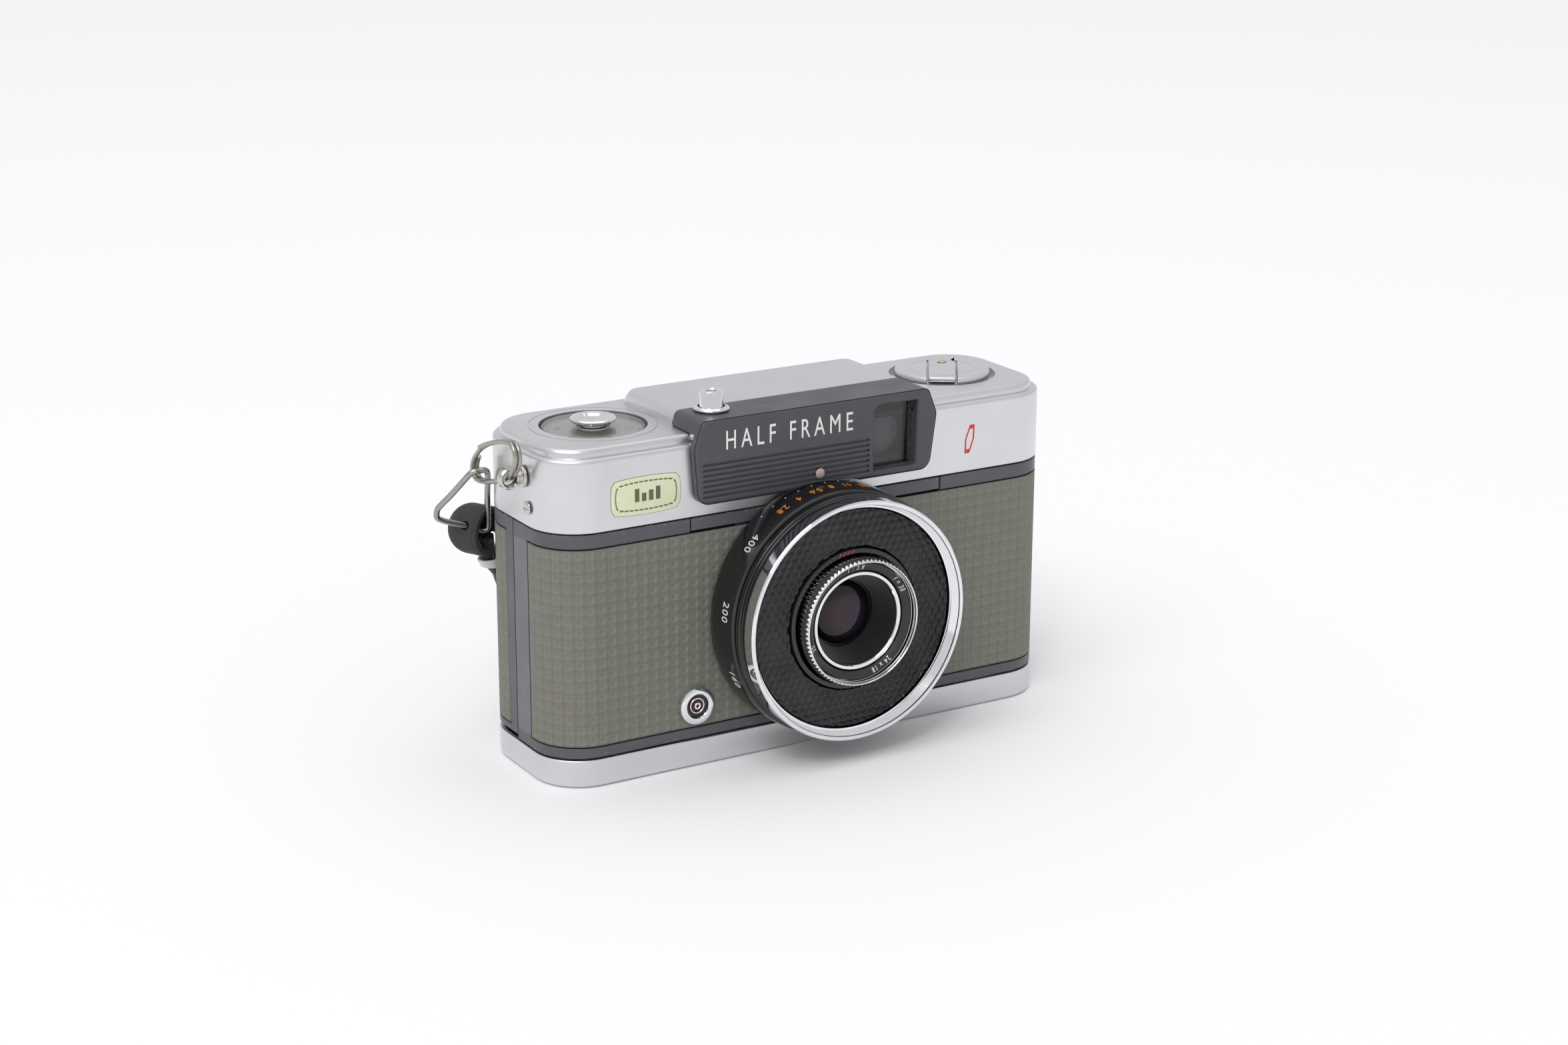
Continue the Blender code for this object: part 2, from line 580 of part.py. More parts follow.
def advance():
    x, y = TAKEUP
    rim = []
    for index in range(WHEEL_TEETH * 2):
        angle = math.pi * index / WHEEL_TEETH
        radius = WHEEL_R - (0.6 if index % 2 else 0.0)
        rim.append((x + radius * math.cos(angle), y + radius * math.sin(angle)))
    wheel = loft("advance_wheel", [[(px, py, z) for px, py in rim] for z in (50.4, 54.4)], BLACK)
    pivot(wheel, (x, y, 52.4))
    cut(wheel, rod("wheel_bore", (x, y, 49), (x, y, 56), 1.9, None, 20))
    turned("take_up_spool", [(0, 50.0), (1.5, 50.0), (1.5, 44.9), (10.0, 44.9), (10.0, 44.1), (4.5, 44.1),
                             (4.5, 10.6), (10.0, 10.6), (10.0, 9.8), (0, 9.8)], BLACK, (x, y, 0),
           (0, 0, 1), 28, True)
    x, y = SPROCKET
    turned("film_sprocket", [(0, 48.6), (1.2, 48.6), (1.2, 44.9), (3.9, 44.9), (3.9, 43.0), (3.3, 43.0),
                             (3.3, 12.4), (3.9, 12.4), (3.9, 10.4), (0, 10.4)], STEEL, (x, y, 0),
           (0, 0, 1), 16, True)
    turned("rewind_release_button", [(0, 16.6), (1.8, 16.6), (2.1, 16.3), (2.1, 12.6), (0, 12.6)], CHROME,
           (UNDO[0], 0, UNDO[1]), (0, 1, 0), 20, True)


# --- rewind knob ---------------------------------------------------------------------------------------

def along_crank(distance, z):
    return Vector((REWIND[0], REWIND[1], z)) + CRANK_WAY * distance


def crank_block(name, start, end, half, low, high, material=None):
    bm = bmesh.new()
    bmesh.ops.create_cube(bm, size=1.0)
    bmesh.ops.scale(bm, vec=Vector((end - start, 2 * half, high - low)) * MM, verts=bm.verts)
    turn = Matrix.Rotation(math.atan2(CRANK_WAY.y, CRANK_WAY.x), 4, "Z")
    middle = along_crank((start + end) / 2, (low + high) / 2) * MM
    bmesh.ops.transform(bm, matrix=Matrix.Translation(middle) @ turn, verts=bm.verts)
    return finish(name, bm, material)


def rewind():
    x, y = REWIND
    knob = turned("rewind_knob", [(0, REWIND_TOP), (REWIND_R - 0.45, REWIND_TOP),
                                  (REWIND_R, REWIND_TOP - 0.35), (REWIND_R, 62.0), (REWIND_R - 0.4, 61.7),
                                  (0, 61.7)], SATIN, (x, y, 0), (0, 0, 1), 36, True)
    cut(knob, crank_block("crank_seat", -12, 12, 2.95, 62.4, 70),
        rod("tip_pocket", along_crank(CRANK_TIP, 61), along_crank(CRANK_TIP, 64), 2.1, None, 20))
    crank = crank_block("rewind_crank", CRANK_HINGE, 8.3, 2.6, 62.75, REWIND_TOP, SATIN)
    pivot(crank, along_crank(CRANK_HINGE, CRANK_AXIS_Z))
    cut(crank, rod("tip_hole", along_crank(CRANK_TIP, 60), along_crank(CRANK_TIP, 66), 0.9, None, 16))
    tip = along_crank(CRANK_TIP, 0)
    turned("crank_tip", [(0, 64.2), (0.7, 64.15), (1.0, 63.98), (0.55, 63.98), (0.55, 62.4), (1.7, 62.4),
                         (1.7, 61.8), (0, 61.8)], BRASS, tip, (0, 0, 1), 16, True)
    shaft = pivot(rod("rewind_shaft", (x, y, 45.0), (x, y, 61.4), 1.9, STEEL, 20), (x, y, 50))
    turned("rewind_sleeve", tube(3.6, 2.2, 53.4, 50.8), BRASS, (x, y, 0), (0, 0, 1), 20)
    join(shaft, block("rewind_fork", (x - 2.6, y - 0.6, 42.5), (x + 2.6, y + 0.6, 45.8)))


# --- lens ----------------------------------------------------------------------------------------------

def shutter_unit():
    lens_turned("shutter_housing", [(20.4, 10.4), (20.4, 0.4), (7.0, 0.4), (7.0, 1.4), (19.4, 1.4),
                                    (19.4, 10.4)], BLACK)
    lens_turned("speed_ring", [(22.9, 8.4), (23.3, 8.0), (23.3, 1.0), (22.9, 0.6), (20.75, 0.6),
                               (20.75, 8.4)], BLACK, 48)
    lens_turned("step_ring", [(22.2, 11.3), (22.2, 10.2), (22.75, 10.0), (22.75, 8.75), (20.75, 8.75),
                              (20.75, 11.3)], BLACK, 48)
    lens_turned("bezel_ring", [(BEZEL_R - 0.3, BEZEL_FRONT), (BEZEL_R, BEZEL_FRONT - 0.3), (BEZEL_R, 11.65),
                               (20.85, 11.65), (20.85, 12.3), (THREAD_R - 0.4, 12.4),
                               (THREAD_R, BEZEL_FRONT - 0.35), (THREAD_R + 0.2, BEZEL_FRONT)], CHROME, 48)
    lens_turned("cell_window", tube(CELL_OUT, CELL_IN, 12.0, 11.1), GLASS)
    lens_turned("exposure_cell", tube(19.0, 14.4, 10.5, 9.4), CELL)
    lens_turned("inner_trim_ring", [(13.0, 12.4), (13.25, 12.1), (13.25, 8.0), (12.35, 8.0), (12.35, 12.4)],
                BLACK)


def blade(name, side, corners, hinge, depth):
    """A thin blade to one side of the lens axis, hung from a hinge above it."""
    corners = [(side * x, z) for x, z in corners]
    if side > 0:
        corners.reverse()
    outline = rounded([(LENS_X + x, LENS_Z + z) for x, z in corners], 0.9, 0, 3)
    piece = loft(name, [upright(outline, FRONT - depth), upright(outline, FRONT - depth - 0.2)], STEEL)
    pivot(piece, (LENS_X + side * hinge[0], FRONT - depth, LENS_Z + hinge[1]))


def blades():
    shutter = [(7.5, -6.5), (-0.8, -6.5), (-0.8, 6.5), (4.5, 13.5), (8.5, 13.5)]
    blade("shutter_blade_left", -1, shutter, (6.5, 12.0), 3.0)
    blade("shutter_blade_right", 1, shutter, (6.5, 12.0), 3.6)
    iris = [(9.5, -4.5), (2.4, -4.5), (2.4, 4.5), (8.0, 13.5), (11.5, 13.5)]
    blade("aperture_blade_left", -1, iris, (9.5, 12.0), 4.4)
    blade("aperture_blade_right", 1, iris, (9.5, 12.0), 5.0)


def optics():
    inner = FOCUS_R - 1.04
    lens_turned("focus_ring", [(FOCUS_R - 0.25, FOCUS_FRONT), (FOCUS_R, FOCUS_FRONT - 0.25), (FOCUS_R, 8.4),
                               (inner, 8.4), (inner, 12.7), (inner + 0.3, 12.7),
                               (inner + 0.3, FOCUS_FRONT)], CHROME)
    lens_turned("name_ring", [(10.95, 14.45), (10.95, 13.65), (9.55, 12.9), (9.55, 13.75)], BLACK)
    lens_turned("front_lens_cell", [(9.05, 13.65), (9.25, 13.45), (9.25, 7.0), (4.6, 7.0), (4.6, 7.6),
                                    (6.4, 7.6), (6.4, 8.4), (8.65, 13.65)], BLACK)
    dome = [(6.0 * math.sin(math.radians(angle)), 7.95 + 1.5 * math.cos(math.radians(angle)))
            for angle in range(0, 91, 15)]
    lens_turned("front_element", dome + [(0, 7.95)], GLASS, 32, True)
    lens_turned("rear_lens_cell", tube(6.6, 4.7, 2.2, -4.0), BRASS, 24)
    lens_turned("rear_element", [(0, 1.4), (2.4, 1.2), (4.35, 0.4), (4.35, -1.2), (0, -1.9)], GLASS, 24,
                True)


# --- strap and its fittings --------------------------------------------------------------------------

LINK_HINGE = (-56.6, 8.1, 54.3)
RING_LINE = ((-8.7, 61.6), (-7.9, 59.2), (-4.65, 56.6), (0.5, 54.8), (5.5, 53.5), (8.8, 53.3),
             (10.0, 55.0), (8.9, 57.2), (5.5, 59.8), (0.5, 61.9), (-4.2, 63.2), (-7.4, 63.4))
LINK_LINE = ((-56.4, 7.45, 55.0), (-57.8, 7.8, 54.7), (-58.7, 8.9, 53.2), (-60.0, 11.9, 49.9),
             (-61.5, 14.6, 46.8), (-61.6, 15.2, 45.3), (-60.3, 15.4, 44.2), (-56.0, 15.4, 42.6),
             (-52.7, 15.3, 41.1), (-51.6, 15.1, 41.4), (-51.7, 14.4, 43.2), (-53.1, 11.4, 48.8),
             (-54.1, 8.9, 53.1), (-54.9, 7.8, 54.7))
STRAP_LINE = ((-51.0, 16.8, 38.9), (-51.0, 16.85, 37.2), (-50.7, 17.0, 35.4), (-49.9, 17.3, 33.7),
              (-48.6, 17.8, 32.2), (-46.8, 18.4, 30.5), (-44.5, 19.0, 28.0), (-41.0, 19.7, 24.0),
              (-37.0, 20.3, 19.0), (-32.5, 20.9, 13.5), (-27.5, 21.5, 8.5), (-21.5, 22.1, 4.6),
              (-14.0, 22.7, 2.2), (-6.0, 23.1, 1.3), (2.0, 23.4, 1.2), (16.0, 23.6, 1.2),
              (30.0, 24.0, 1.2), (39.5, 26.0, 1.2), (44.5, 31.0, 1.2), (41.0, 36.8, 1.2),
              (30.0, 40.0, 1.2), (14.0, 40.8, 1.2), (-1.0, 40.2, 1.2), (-13.5, 38.2, 1.6),
              (-23.5, 34.8, 4.0), (-31.0, 31.4, 8.5), (-36.6, 28.4, 14.0), (-40.6, 26.0, 19.5),
              (-43.8, 23.8, 24.5), (-46.0, 21.9, 28.9), (-47.4, 20.7, 31.8), (-48.6, 19.7, 34.2),
              (-49.4, 19.15, 36.4), (-49.7, 19.0, 38.9))


def strap_lug():
    lug = rod("strap_lug", (-54.35, EYE.y, EYE.z), (-53.8, EYE.y, EYE.z), 2.0, STEEL, 24)
    post = rod("lug_post", (EYE.x + 1.0, EYE.y, EYE.z), (-54.0, EYE.y, EYE.z), 1.4, None, 16)
    thick = Vector((0, 0.8, 0))
    join(lug, post, rod("lug_eye", EYE - thick, EYE + thick, 2.0, None, 24))
    cut(lug, rod("lug_hole", EYE - 2 * thick, EYE + 2 * thick, 1.3, None, 20))


def strap_ring():
    """A split ring: its wire goes twice round the same line, side by side."""
    once = smooth_line([(0.0, y, z) for y, z in RING_LINE], 1.7, closed=True)
    start = 2 * len(once) // 3
    total = 2 * len(once) - 3
    line = []
    for index in range(total):
        point = once[(start + index) % len(once)]
        aside = (index / len(once) - 1.0) * 0.9
        line.append((EYE.x + aside, point.y, point.z))
    pivot(wire("strap_ring", line, RING_WIRE, STEEL), EYE)


def strap_link():
    pivot(wire("strap_link", smooth_line(LINK_LINE, 1.9, closed=True), LINK_WIRE, STEEL, closed=True),
          LINK_HINGE)


def at_height(line, height):
    """The point where a line that starts by falling first reaches a height."""
    for high, low in zip(line, line[1:]):
        if low[2] <= height:
            return Vector(high).lerp(Vector(low), (high[2] - height) / (high[2] - low[2]))
    raise ValueError("the line never falls to this height")


def oval(first, second, side):
    """A flat ring of points round two cords that run side by side."""
    way = (second.xy - first.xy).normalized()
    across = Vector((way.y, -way.x))
    middle, half = (first.xy + second.xy) / 2, (second.xy - first.xy).length / 2
    points = rounded([(-half - side, -side), (half + side, -side), (half + side, side),
                      (-half - side, side)], side * 0.9, 0, 4)
    return [middle + way * p.x + across * p.y for p in points]


def strap_boot():
    dome = [(0, BOOT_LENGTH)]
    for angle in range(20, 91, 14):
        turn = math.radians(angle)
        dome.append((BOOT_R * math.sin(turn), BOOT_LENGTH - 4.2 + 4.2 * math.cos(turn)))
    dome += [(BOOT_R, 0.6), (BOOT_R - 0.3, 0), (BOOT_R - 1.1, 0), (BOOT_R - 1.3, 0.5)]
    dome += [(BOOT_R - 1.3, BOOT_LENGTH - 4.2), (2.2, BOOT_LENGTH - 1.6), (0, BOOT_LENGTH - 1.3)]
    boot = turned("strap_boot", dome, RUBBER, BOOT_MOUTH, BOOT_WAY, 28, True)
    low, high = Vector(STRAP_LINE[0]), Vector(STRAP_LINE[-1])
    outline = oval(low, high, STRAP_R + 0.4)
    slot = loft("cord_slot", [[(p.x, p.y, z) for p in outline] for z in (33.0, 39.6)], None)
    link_room = wire("link_room", smooth_line(LINK_LINE, 1.9, closed=True), LINK_WIRE + 0.35, None,
                     closed=True)
    cut(boot, slot, link_room)


def wrist_strap():
    pivot(wire("wrist_strap", smooth_line(STRAP_LINE, 5.0), STRAP_R, CORD), LINK_HINGE)


def strap_keeper():
    """The sleeve that holds the strap's two ends together below the boot."""
    rings = []
    for side, z in ((STRAP_R + 1.0, 33.4), (STRAP_R + 1.0, 35.1), (STRAP_R + 0.45, 35.1), (STRAP_R + 0.45, 33.4)):
        outline = oval(at_height(STRAP_LINE, z), at_height(STRAP_LINE[::-1], z), side)
        rings.append([(p.x, p.y, z) for p in outline])
    pivot(loft("strap_keeper", rings, PALE, ring_round=True), LINK_HINGE)


base_cover()
tripod_bush()
back_lock()
back_cover()
pressure_plate()
front_shell()
front_plate()
front_leatherette("leatherette_left", -1)
front_leatherette("leatherette_right", 1)
sync_socket()
body_casting()
top_cover()
front_fascia()
index_pin()
finder()
cover_screw("cover_screw_left", -1)
cover_screw("cover_screw_right", 1)
release()
counter()
advance()
rewind()
shutter_unit()
blades()
optics()
strap_lug()
strap_ring()
strap_link()
strap_boot()
wrist_strap()
strap_keeper()
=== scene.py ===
"""The half frame camera's looks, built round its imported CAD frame. Sizes are in millimetres in here,
and MM turns them into the frame's metres."""

import math

import bmesh
import bpy
from mathutils import Matrix, Vector


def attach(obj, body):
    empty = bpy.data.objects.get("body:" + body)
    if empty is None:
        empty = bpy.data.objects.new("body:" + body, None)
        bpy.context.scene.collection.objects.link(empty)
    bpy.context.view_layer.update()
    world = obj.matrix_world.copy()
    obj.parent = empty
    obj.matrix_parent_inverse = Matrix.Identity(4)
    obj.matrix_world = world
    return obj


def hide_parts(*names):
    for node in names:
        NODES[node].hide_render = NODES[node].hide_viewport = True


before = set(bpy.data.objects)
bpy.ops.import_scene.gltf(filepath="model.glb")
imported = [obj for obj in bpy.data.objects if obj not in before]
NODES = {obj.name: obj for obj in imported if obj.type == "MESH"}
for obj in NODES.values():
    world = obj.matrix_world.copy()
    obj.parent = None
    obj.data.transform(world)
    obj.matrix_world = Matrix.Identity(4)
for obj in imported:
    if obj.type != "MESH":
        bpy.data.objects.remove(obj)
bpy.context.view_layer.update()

MM = 0.001
scene = bpy.context.scene

# --- sizes that the CAD has ---------------------------------------------------------------------
HALF_W, FRONT, BACK = 53.5, -15.75, 15.75
FRONT_R, BACK_R = 9.1, 10.25
LENS_X, LENS_Z = 0.6, 27.65
LENS = (LENS_X, FRONT, LENS_Z)
COUNTER = (-37.0, 0.55)
REWIND = (38.3, 0.65)
BUTTON = (-19.3, -11.15)
TAKEUP = (-37.0, 3.0)
SPROCKET = (-21.6, 2.6)
TRIPOD, LOCK = (-25, 0), (22, 0)
UNDO = (-14, 53)                              # the rewind release button's X and Z
SCREW = (-6.3, 51.2)                          # the side screws' Y and Z
INDEX = (LENS_X - 1, 52.6)                    # the index pin's X and Z
EYE = Vector((-56.4, -4.65, 56.6))
SOCKET = (-25.5, 12.1)
CRANK_WAY = Vector((0.555, 0.832, 0.0)).normalized()
CRANK_HINGE, CRANK_TIP = -8.3, 4.3
BOOT_MOUTH = Vector((-50.9, 15.0, 40.7))
BOOT_WAY = Vector((-0.451, 0.893, 0.0)).normalized()
SKIN_LOW, SKIN_HIGH = 7.9, 44.6


PIT, PIT_DEEP, THREAD = 2.05, 0.2, 0.256      # the leatherette's dimples and its woven lines


# --- camera: first, as it settles what the cord may do -------------------------------------------

def add_camera():
    data = bpy.data.cameras.new("camera")
    data.sensor_width = 36.0
    data.lens = 66.51
    data.clip_start, data.clip_end = 0.01, 20.0
    eye = bpy.data.objects.new("camera", data)
    yaw, pitch, roll = (math.radians(a) for a in (-31.098, 16.982, 0.2012))
    back = Vector((math.sin(yaw) * math.cos(pitch), -math.cos(yaw) * math.cos(pitch), math.sin(pitch)))
    right = Vector((math.cos(yaw), math.sin(yaw), 0.0))
    up = back.cross(right)
    across = right * math.cos(roll) + up * math.sin(roll)
    above = up * math.cos(roll) - right * math.sin(roll)
    turn = Matrix((across, above, back)).transposed().to_4x4()
    eye.matrix_world = Matrix.Translation((-0.26654, -0.44630, 0.19732)) @ turn
    scene.collection.objects.link(eye)
    scene.camera = eye


add_camera()


# --- node graphs ----------------------------------------------------------------------------------

class Graph:
    """A material's nodes, with short ways to add the ones used here."""

    def __init__(self, name, colour, roughness, metallic=0.0, **sockets):
        self.material = bpy.data.materials.new(name)
        self.material.use_nodes = True
        self.tree = self.material.node_tree
        self.shader = self.tree.nodes["Principled BSDF"]
        self.set("Base Color", (*colour, 1.0))
        self.set("Roughness", roughness)
        self.set("Metallic", metallic)
        for socket, value in sockets.items():
            self.set(socket.replace("_", " "), value)
        self.colour = colour
        self.roughness = roughness
        where = self.tree.nodes.new("ShaderNodeTexCoord")
        self.place = where.outputs["Object"]
        self.uv = where.outputs["UV"]
        self.bumps = None

    def set(self, socket, value):
        self.shader.inputs[socket].default_value = value

    def feed(self, value, socket):
        """Links another node's output to a socket, or sets a plain value on it."""
        if isinstance(value, bpy.types.NodeSocket):
            self.tree.links.new(value, socket)
        else:
            socket.default_value = value

    def node(self, kind, **inputs):
        made = self.tree.nodes.new("ShaderNode" + kind)
        for key, value in inputs.items():
            self.feed(value, made.inputs[key.replace("_", " ")])
        return made

    def math(self, operation, first, second=0.0, third=0.0):
        made = self.tree.nodes.new("ShaderNodeMath")
        made.operation = operation
        for socket, value in zip(made.inputs, (first, second, third)):
            self.feed(value, socket)
        return made.outputs[0]

    def noise(self, per_mm, detail=3.0, rough=0.5, stretch=(1, 1, 1), where=None):
        mapping = self.node("Mapping", Vector=where or self.place,
            Scale=tuple(1000 * per_mm * s for s in stretch))
        return self.node("TexNoise", Vector=mapping.outputs[0], Scale=1.0, Detail=detail,
            Roughness=rough).outputs["Fac"]

    def ramp(self, value, low, high, out_low, out_high):
        made = self.node("MapRange", Value=value)
        for key, number in (("From Min", low), ("From Max", high), ("To Min", out_low),
                ("To Max", out_high)):
            made.inputs[key].default_value = number
        return made.outputs[0]

    def mix(self, factor, first, second):
        made = self.tree.nodes.new("ShaderNodeMix")
        made.data_type = "RGBA"
        for index, value in ((0, factor), (6, first), (7, second)):
            self.feed((*value, 1.0) if isinstance(value, tuple) else value, made.inputs[index])
        return made.outputs[2]

    def link(self, value, socket):
        self.tree.links.new(value, self.shader.inputs[socket])

    def bump(self, height, distance_mm, strength=1.0):
        made = self.node("Bump", Height=height, Distance=distance_mm * MM, Strength=strength)
        if self.bumps is not None:
            self.tree.links.new(self.bumps, made.inputs["Normal"])
        self.bumps = made.outputs[0]
        self.tree.links.new(self.bumps, self.shader.inputs["Normal"])

    def grime(self, spread, per_mm=0.12):
        """Uneven roughness and a faint tone change, such as handling leaves."""
        cloud = self.noise(per_mm, 4.0, 0.6)
        low, high = self.roughness - spread, self.roughness + spread
        self.link(self.ramp(cloud, 0.3, 0.7, max(low, 0.0), high), "Roughness")
        tone = tuple(c * 0.93 for c in self.colour)
        self.link(self.mix(self.ramp(cloud, 0.35, 0.7, 0.0, 1.0), self.colour, tone), "Base Color")
        return cloud


def satin():
    g = Graph("satin_silver", (0.70, 0.705, 0.72), 0.33, 0.92)
    g.grime(0.04, 0.05)
    g.bump(g.noise(6.0, 2.0, 0.6), 0.012, 0.35)
    return g.material


def chrome(name="chrome", colour=(0.83, 0.83, 0.85), roughness=0.07):
    g = Graph(name, colour, roughness, 1.0)
    g.grime(0.035, 0.3)
    g.bump(g.noise(1.5, 2.0), 0.004, 0.4)
    return g.material


def steel(name="plain_steel", colour=(0.62, 0.60, 0.56), roughness=0.22):
    g = Graph(name, colour, roughness, 1.0)
    g.grime(0.08, 0.5)
    g.bump(g.noise(4.0, 3.0), 0.01, 0.4)
    return g.material


def grey_paint(name="dark_grey_paint", colour=(0.062, 0.065, 0.073)):
    g = Graph(name, colour, 0.42, 0.0, Specular_IOR_Level=0.45)
    g.grime(0.06, 0.15)
    g.bump(g.noise(3.5, 3.0, 0.6), 0.012, 0.5)
    return g.material


def worn_paint():
    """The shells' paint, with chips that show at the two rims, where the covers meet it."""
    g = Graph("worn_grey_paint", (0.083, 0.086, 0.097), 0.42, 0.0, Specular_IOR_Level=0.45)
    g.grime(0.06, 0.15)
    split = g.node("SeparateXYZ", Vector=g.place)
    height = g.math("MULTIPLY", split.outputs["Z"], 1000.0)
    chips = g.noise(1.1, 5.0, 0.75, (1, 1, 2.2))
    edge = g.math("MAXIMUM", g.ramp(height, 46.7, 47.4, 0.0, 1.0), g.ramp(height, 6.6, 5.8, 0.0, 1.0))
    worn = g.math("MULTIPLY", edge, g.ramp(chips, 0.61, 0.66, 0.0, 1.0))
    base = g.shader.inputs["Base Color"].links[0].from_socket
    g.link(g.mix(worn, base, (0.42, 0.43, 0.45)), "Base Color")
    g.bump(g.noise(3.5, 3.0, 0.6), 0.012, 0.5)
    return g.material


def black(name="black_enamel", roughness=0.27, colour=(0.011, 0.011, 0.012), dust=0.0):
    g = Graph(name, colour, roughness, 0.0, Coat_Weight=0.25, Coat_Roughness=0.12)
    cloud = g.grime(0.05, 0.2)
    if dust:
        specks = g.ramp(g.noise(5.0, 2.0, 0.5), 0.74, 0.78, 0.0, dust)
        base = g.shader.inputs["Base Color"].links[0].from_socket
        g.link(g.mix(specks, base, (0.35, 0.35, 0.36)), "Base Color")
    g.bump(cloud, 0.01, 0.2)
    return g.material


def leatherette():
    """Olive grey skin with fine woven lines between its dimples. UVs run in millimetres of the
    pattern, along the body and up."""
    g = Graph("grey_leatherette", (0.235, 0.23, 0.192), 0.6, 0.0, Specular_IOR_Level=0.4)
    split = g.node("SeparateXYZ", Vector=g.uv)
    along, up = split.outputs["X"], split.outputs["Y"]

    def band(value):
        """1 halfway between two dimples and 0 at them."""
        away = g.math("ABSOLUTE", g.math("SUBTRACT", g.math("FRACT", g.math("DIVIDE", value, PIT)), 0.5))
        return g.ramp(away, 0.24, 0.32, 0.0, 1.0)

    def threads(value):
        return g.math("ABSOLUTE", g.math("SINE", g.math("MULTIPLY", value, math.pi / THREAD)))

    rows = g.math("MULTIPLY", band(up), g.math("SUBTRACT", 1.0, threads(up)))
    columns = g.math("MULTIPLY", band(along), g.math("SUBTRACT", 1.0, threads(along)))
    furrow = g.math("MAXIMUM", rows, columns)
    cloud = g.noise(0.3, 4.0, 0.6)
    fine = g.noise(7.0, 2.0, 0.6)
    olive = g.mix(cloud, (0.178, 0.174, 0.147), (0.218, 0.213, 0.182))
    # the woven furrows are drawn darker: painted shade in the grooves that the bump below also cuts
    tone = g.mix(g.ramp(furrow, 0.25, 0.9, 0.0, 0.8), olive, (0.12, 0.117, 0.097))
    # the dimples are drawn darker towards their centres, as deep as each pit: painted shade in the dimples
    pits = g.node("Attribute")
    pits.attribute_name = "pit"
    g.link(g.mix(g.math("MULTIPLY", pits.outputs["Fac"], 0.25), tone, (0.07, 0.069, 0.058)), "Base Color")
    g.link(g.ramp(fine, 0.3, 0.7, 0.48, 0.7), "Roughness")
    g.bump(g.math("SUBTRACT", 1.0, furrow), 0.06, 0.9)
    g.bump(fine, 0.02, 0.5)
    return g.material


def cell_plastic():
    g = Graph("cell_window_plastic", (0.01, 0.011, 0.012), 0.12, 0.0, Specular_IOR_Level=0.4)
    cloud = g.noise(0.16, 3.0, 0.55)
    dots = g.noise(0.9, 2.0, 0.5)
    tone = g.mix(g.ramp(cloud, 0.35, 0.68, 0.0, 1.0), (0.004, 0.005, 0.005), (0.02, 0.021, 0.021))
    g.link(g.mix(g.ramp(dots, 0.45, 0.62, 0.0, 0.6), tone, (0.012, 0.014, 0.015)), "Base Color")
    g.link(g.ramp(dots, 0.3, 0.7, 0.09, 0.2), "Roughness")
    return g.material


def painted_coating_reflection():
    """The front element: its coating's purple and amber tint as a painted reflection in the base colour,
    which fades to black at its rim.
    """
    g = Graph("coated_glass", (0.012, 0.008, 0.012), 0.04, 0.0, Specular_IOR_Level=0.35)
    split = g.node("SeparateXYZ", Vector=g.place)
    x = g.math("MULTIPLY", g.math("SUBTRACT", split.outputs["X"], LENS_X * MM), 1000.0)
    z = g.math("MULTIPLY", g.math("SUBTRACT", split.outputs["Z"], LENS_Z * MM), 1000.0)
    radius = g.math("SQRT", g.math("ADD", g.math("MULTIPLY", x, x), g.math("MULTIPLY", z, z)))
    # painted reflection: the coating's tint, amber towards the left and purple towards the right
    inner = g.mix(g.ramp(x, -3.5, 3.0, 0.0, 1.0), (0.045, 0.02, 0.016), (0.02, 0.012, 0.034))
    g.link(g.mix(g.ramp(radius, 2.4, 5.2, 0.0, 1.0), inner, (0.004, 0.004, 0.005)), "Base Color")
    g.bump(g.noise(0.1), 0.003, 0.1)
    return g.material


def clear(name, colour, roughness):
    g = Graph(name, colour, roughness, 0.0, Transmission_Weight=1.0, IOR=1.46)
    g.bump(g.noise(0.8, 2.0), 0.004, 0.25)
    return g.material


def plastic(name, colour, roughness, per_mm=2.0, spread=0.05, depth=0.015):
    g = Graph(name, colour, roughness)
    g.grime(spread, 0.3)
    g.bump(g.noise(per_mm, 3.0, 0.6), depth, 0.6)
    return g.material


def rubber():
    g = Graph("black_rubber", (0.04, 0.039, 0.04), 0.7, 0.0, Specular_IOR_Level=0.3)
    speck = g.noise(5.0, 3.0, 0.7)
    g.link(g.mix(g.ramp(speck, 0.45, 0.7, 0.0, 1.0), (0.034, 0.034, 0.035), (0.062, 0.061, 0.062)),
        "Base Color")
    g.link(g.ramp(g.noise(0.4), 0.3, 0.7, 0.62, 0.78), "Roughness")
    g.bump(speck, 0.03, 0.6)
    return g.material


def braid():
    """Plaited cord: two sets of strands that cross. UVs run round the cord and along it in mm."""
    g = Graph("strap_cord", (0.016, 0.016, 0.018), 0.6, 0.0, Sheen_Weight=0.3)
    split = g.node("SeparateXYZ", Vector=g.uv)
    round_it, along = split.outputs["X"], split.outputs["Y"]
    lean = g.math("MULTIPLY", round_it, 6.0)
    left = g.math("SINE", g.math("MULTIPLY", g.math("ADD", g.math("MULTIPLY", along, 0.9), lean),
        2 * math.pi))
    right = g.math("SINE", g.math("MULTIPLY", g.math("SUBTRACT", g.math("MULTIPLY", along, 0.9), lean),
        2 * math.pi))
    plait = g.math("MAXIMUM", left, right)
    # the grooves between the strands are drawn darker than their crowns: painted shade that follows the
    # plait's relief
    g.link(g.mix(g.ramp(plait, -0.2, 1.0, 0.0, 1.0), (0.006, 0.006, 0.007), (0.03, 0.03, 0.033)),
        "Base Color")
    g.link(g.ramp(g.noise(3.0), 0.3, 0.7, 0.5, 0.7), "Roughness")
    g.bump(plait, 0.12, 0.8)
    return g.material


def print_ink(name, colour, roughness=0.5):
    g = Graph(name, colour, roughness)
    g.grime(0.05, 2.0)
    return g.material


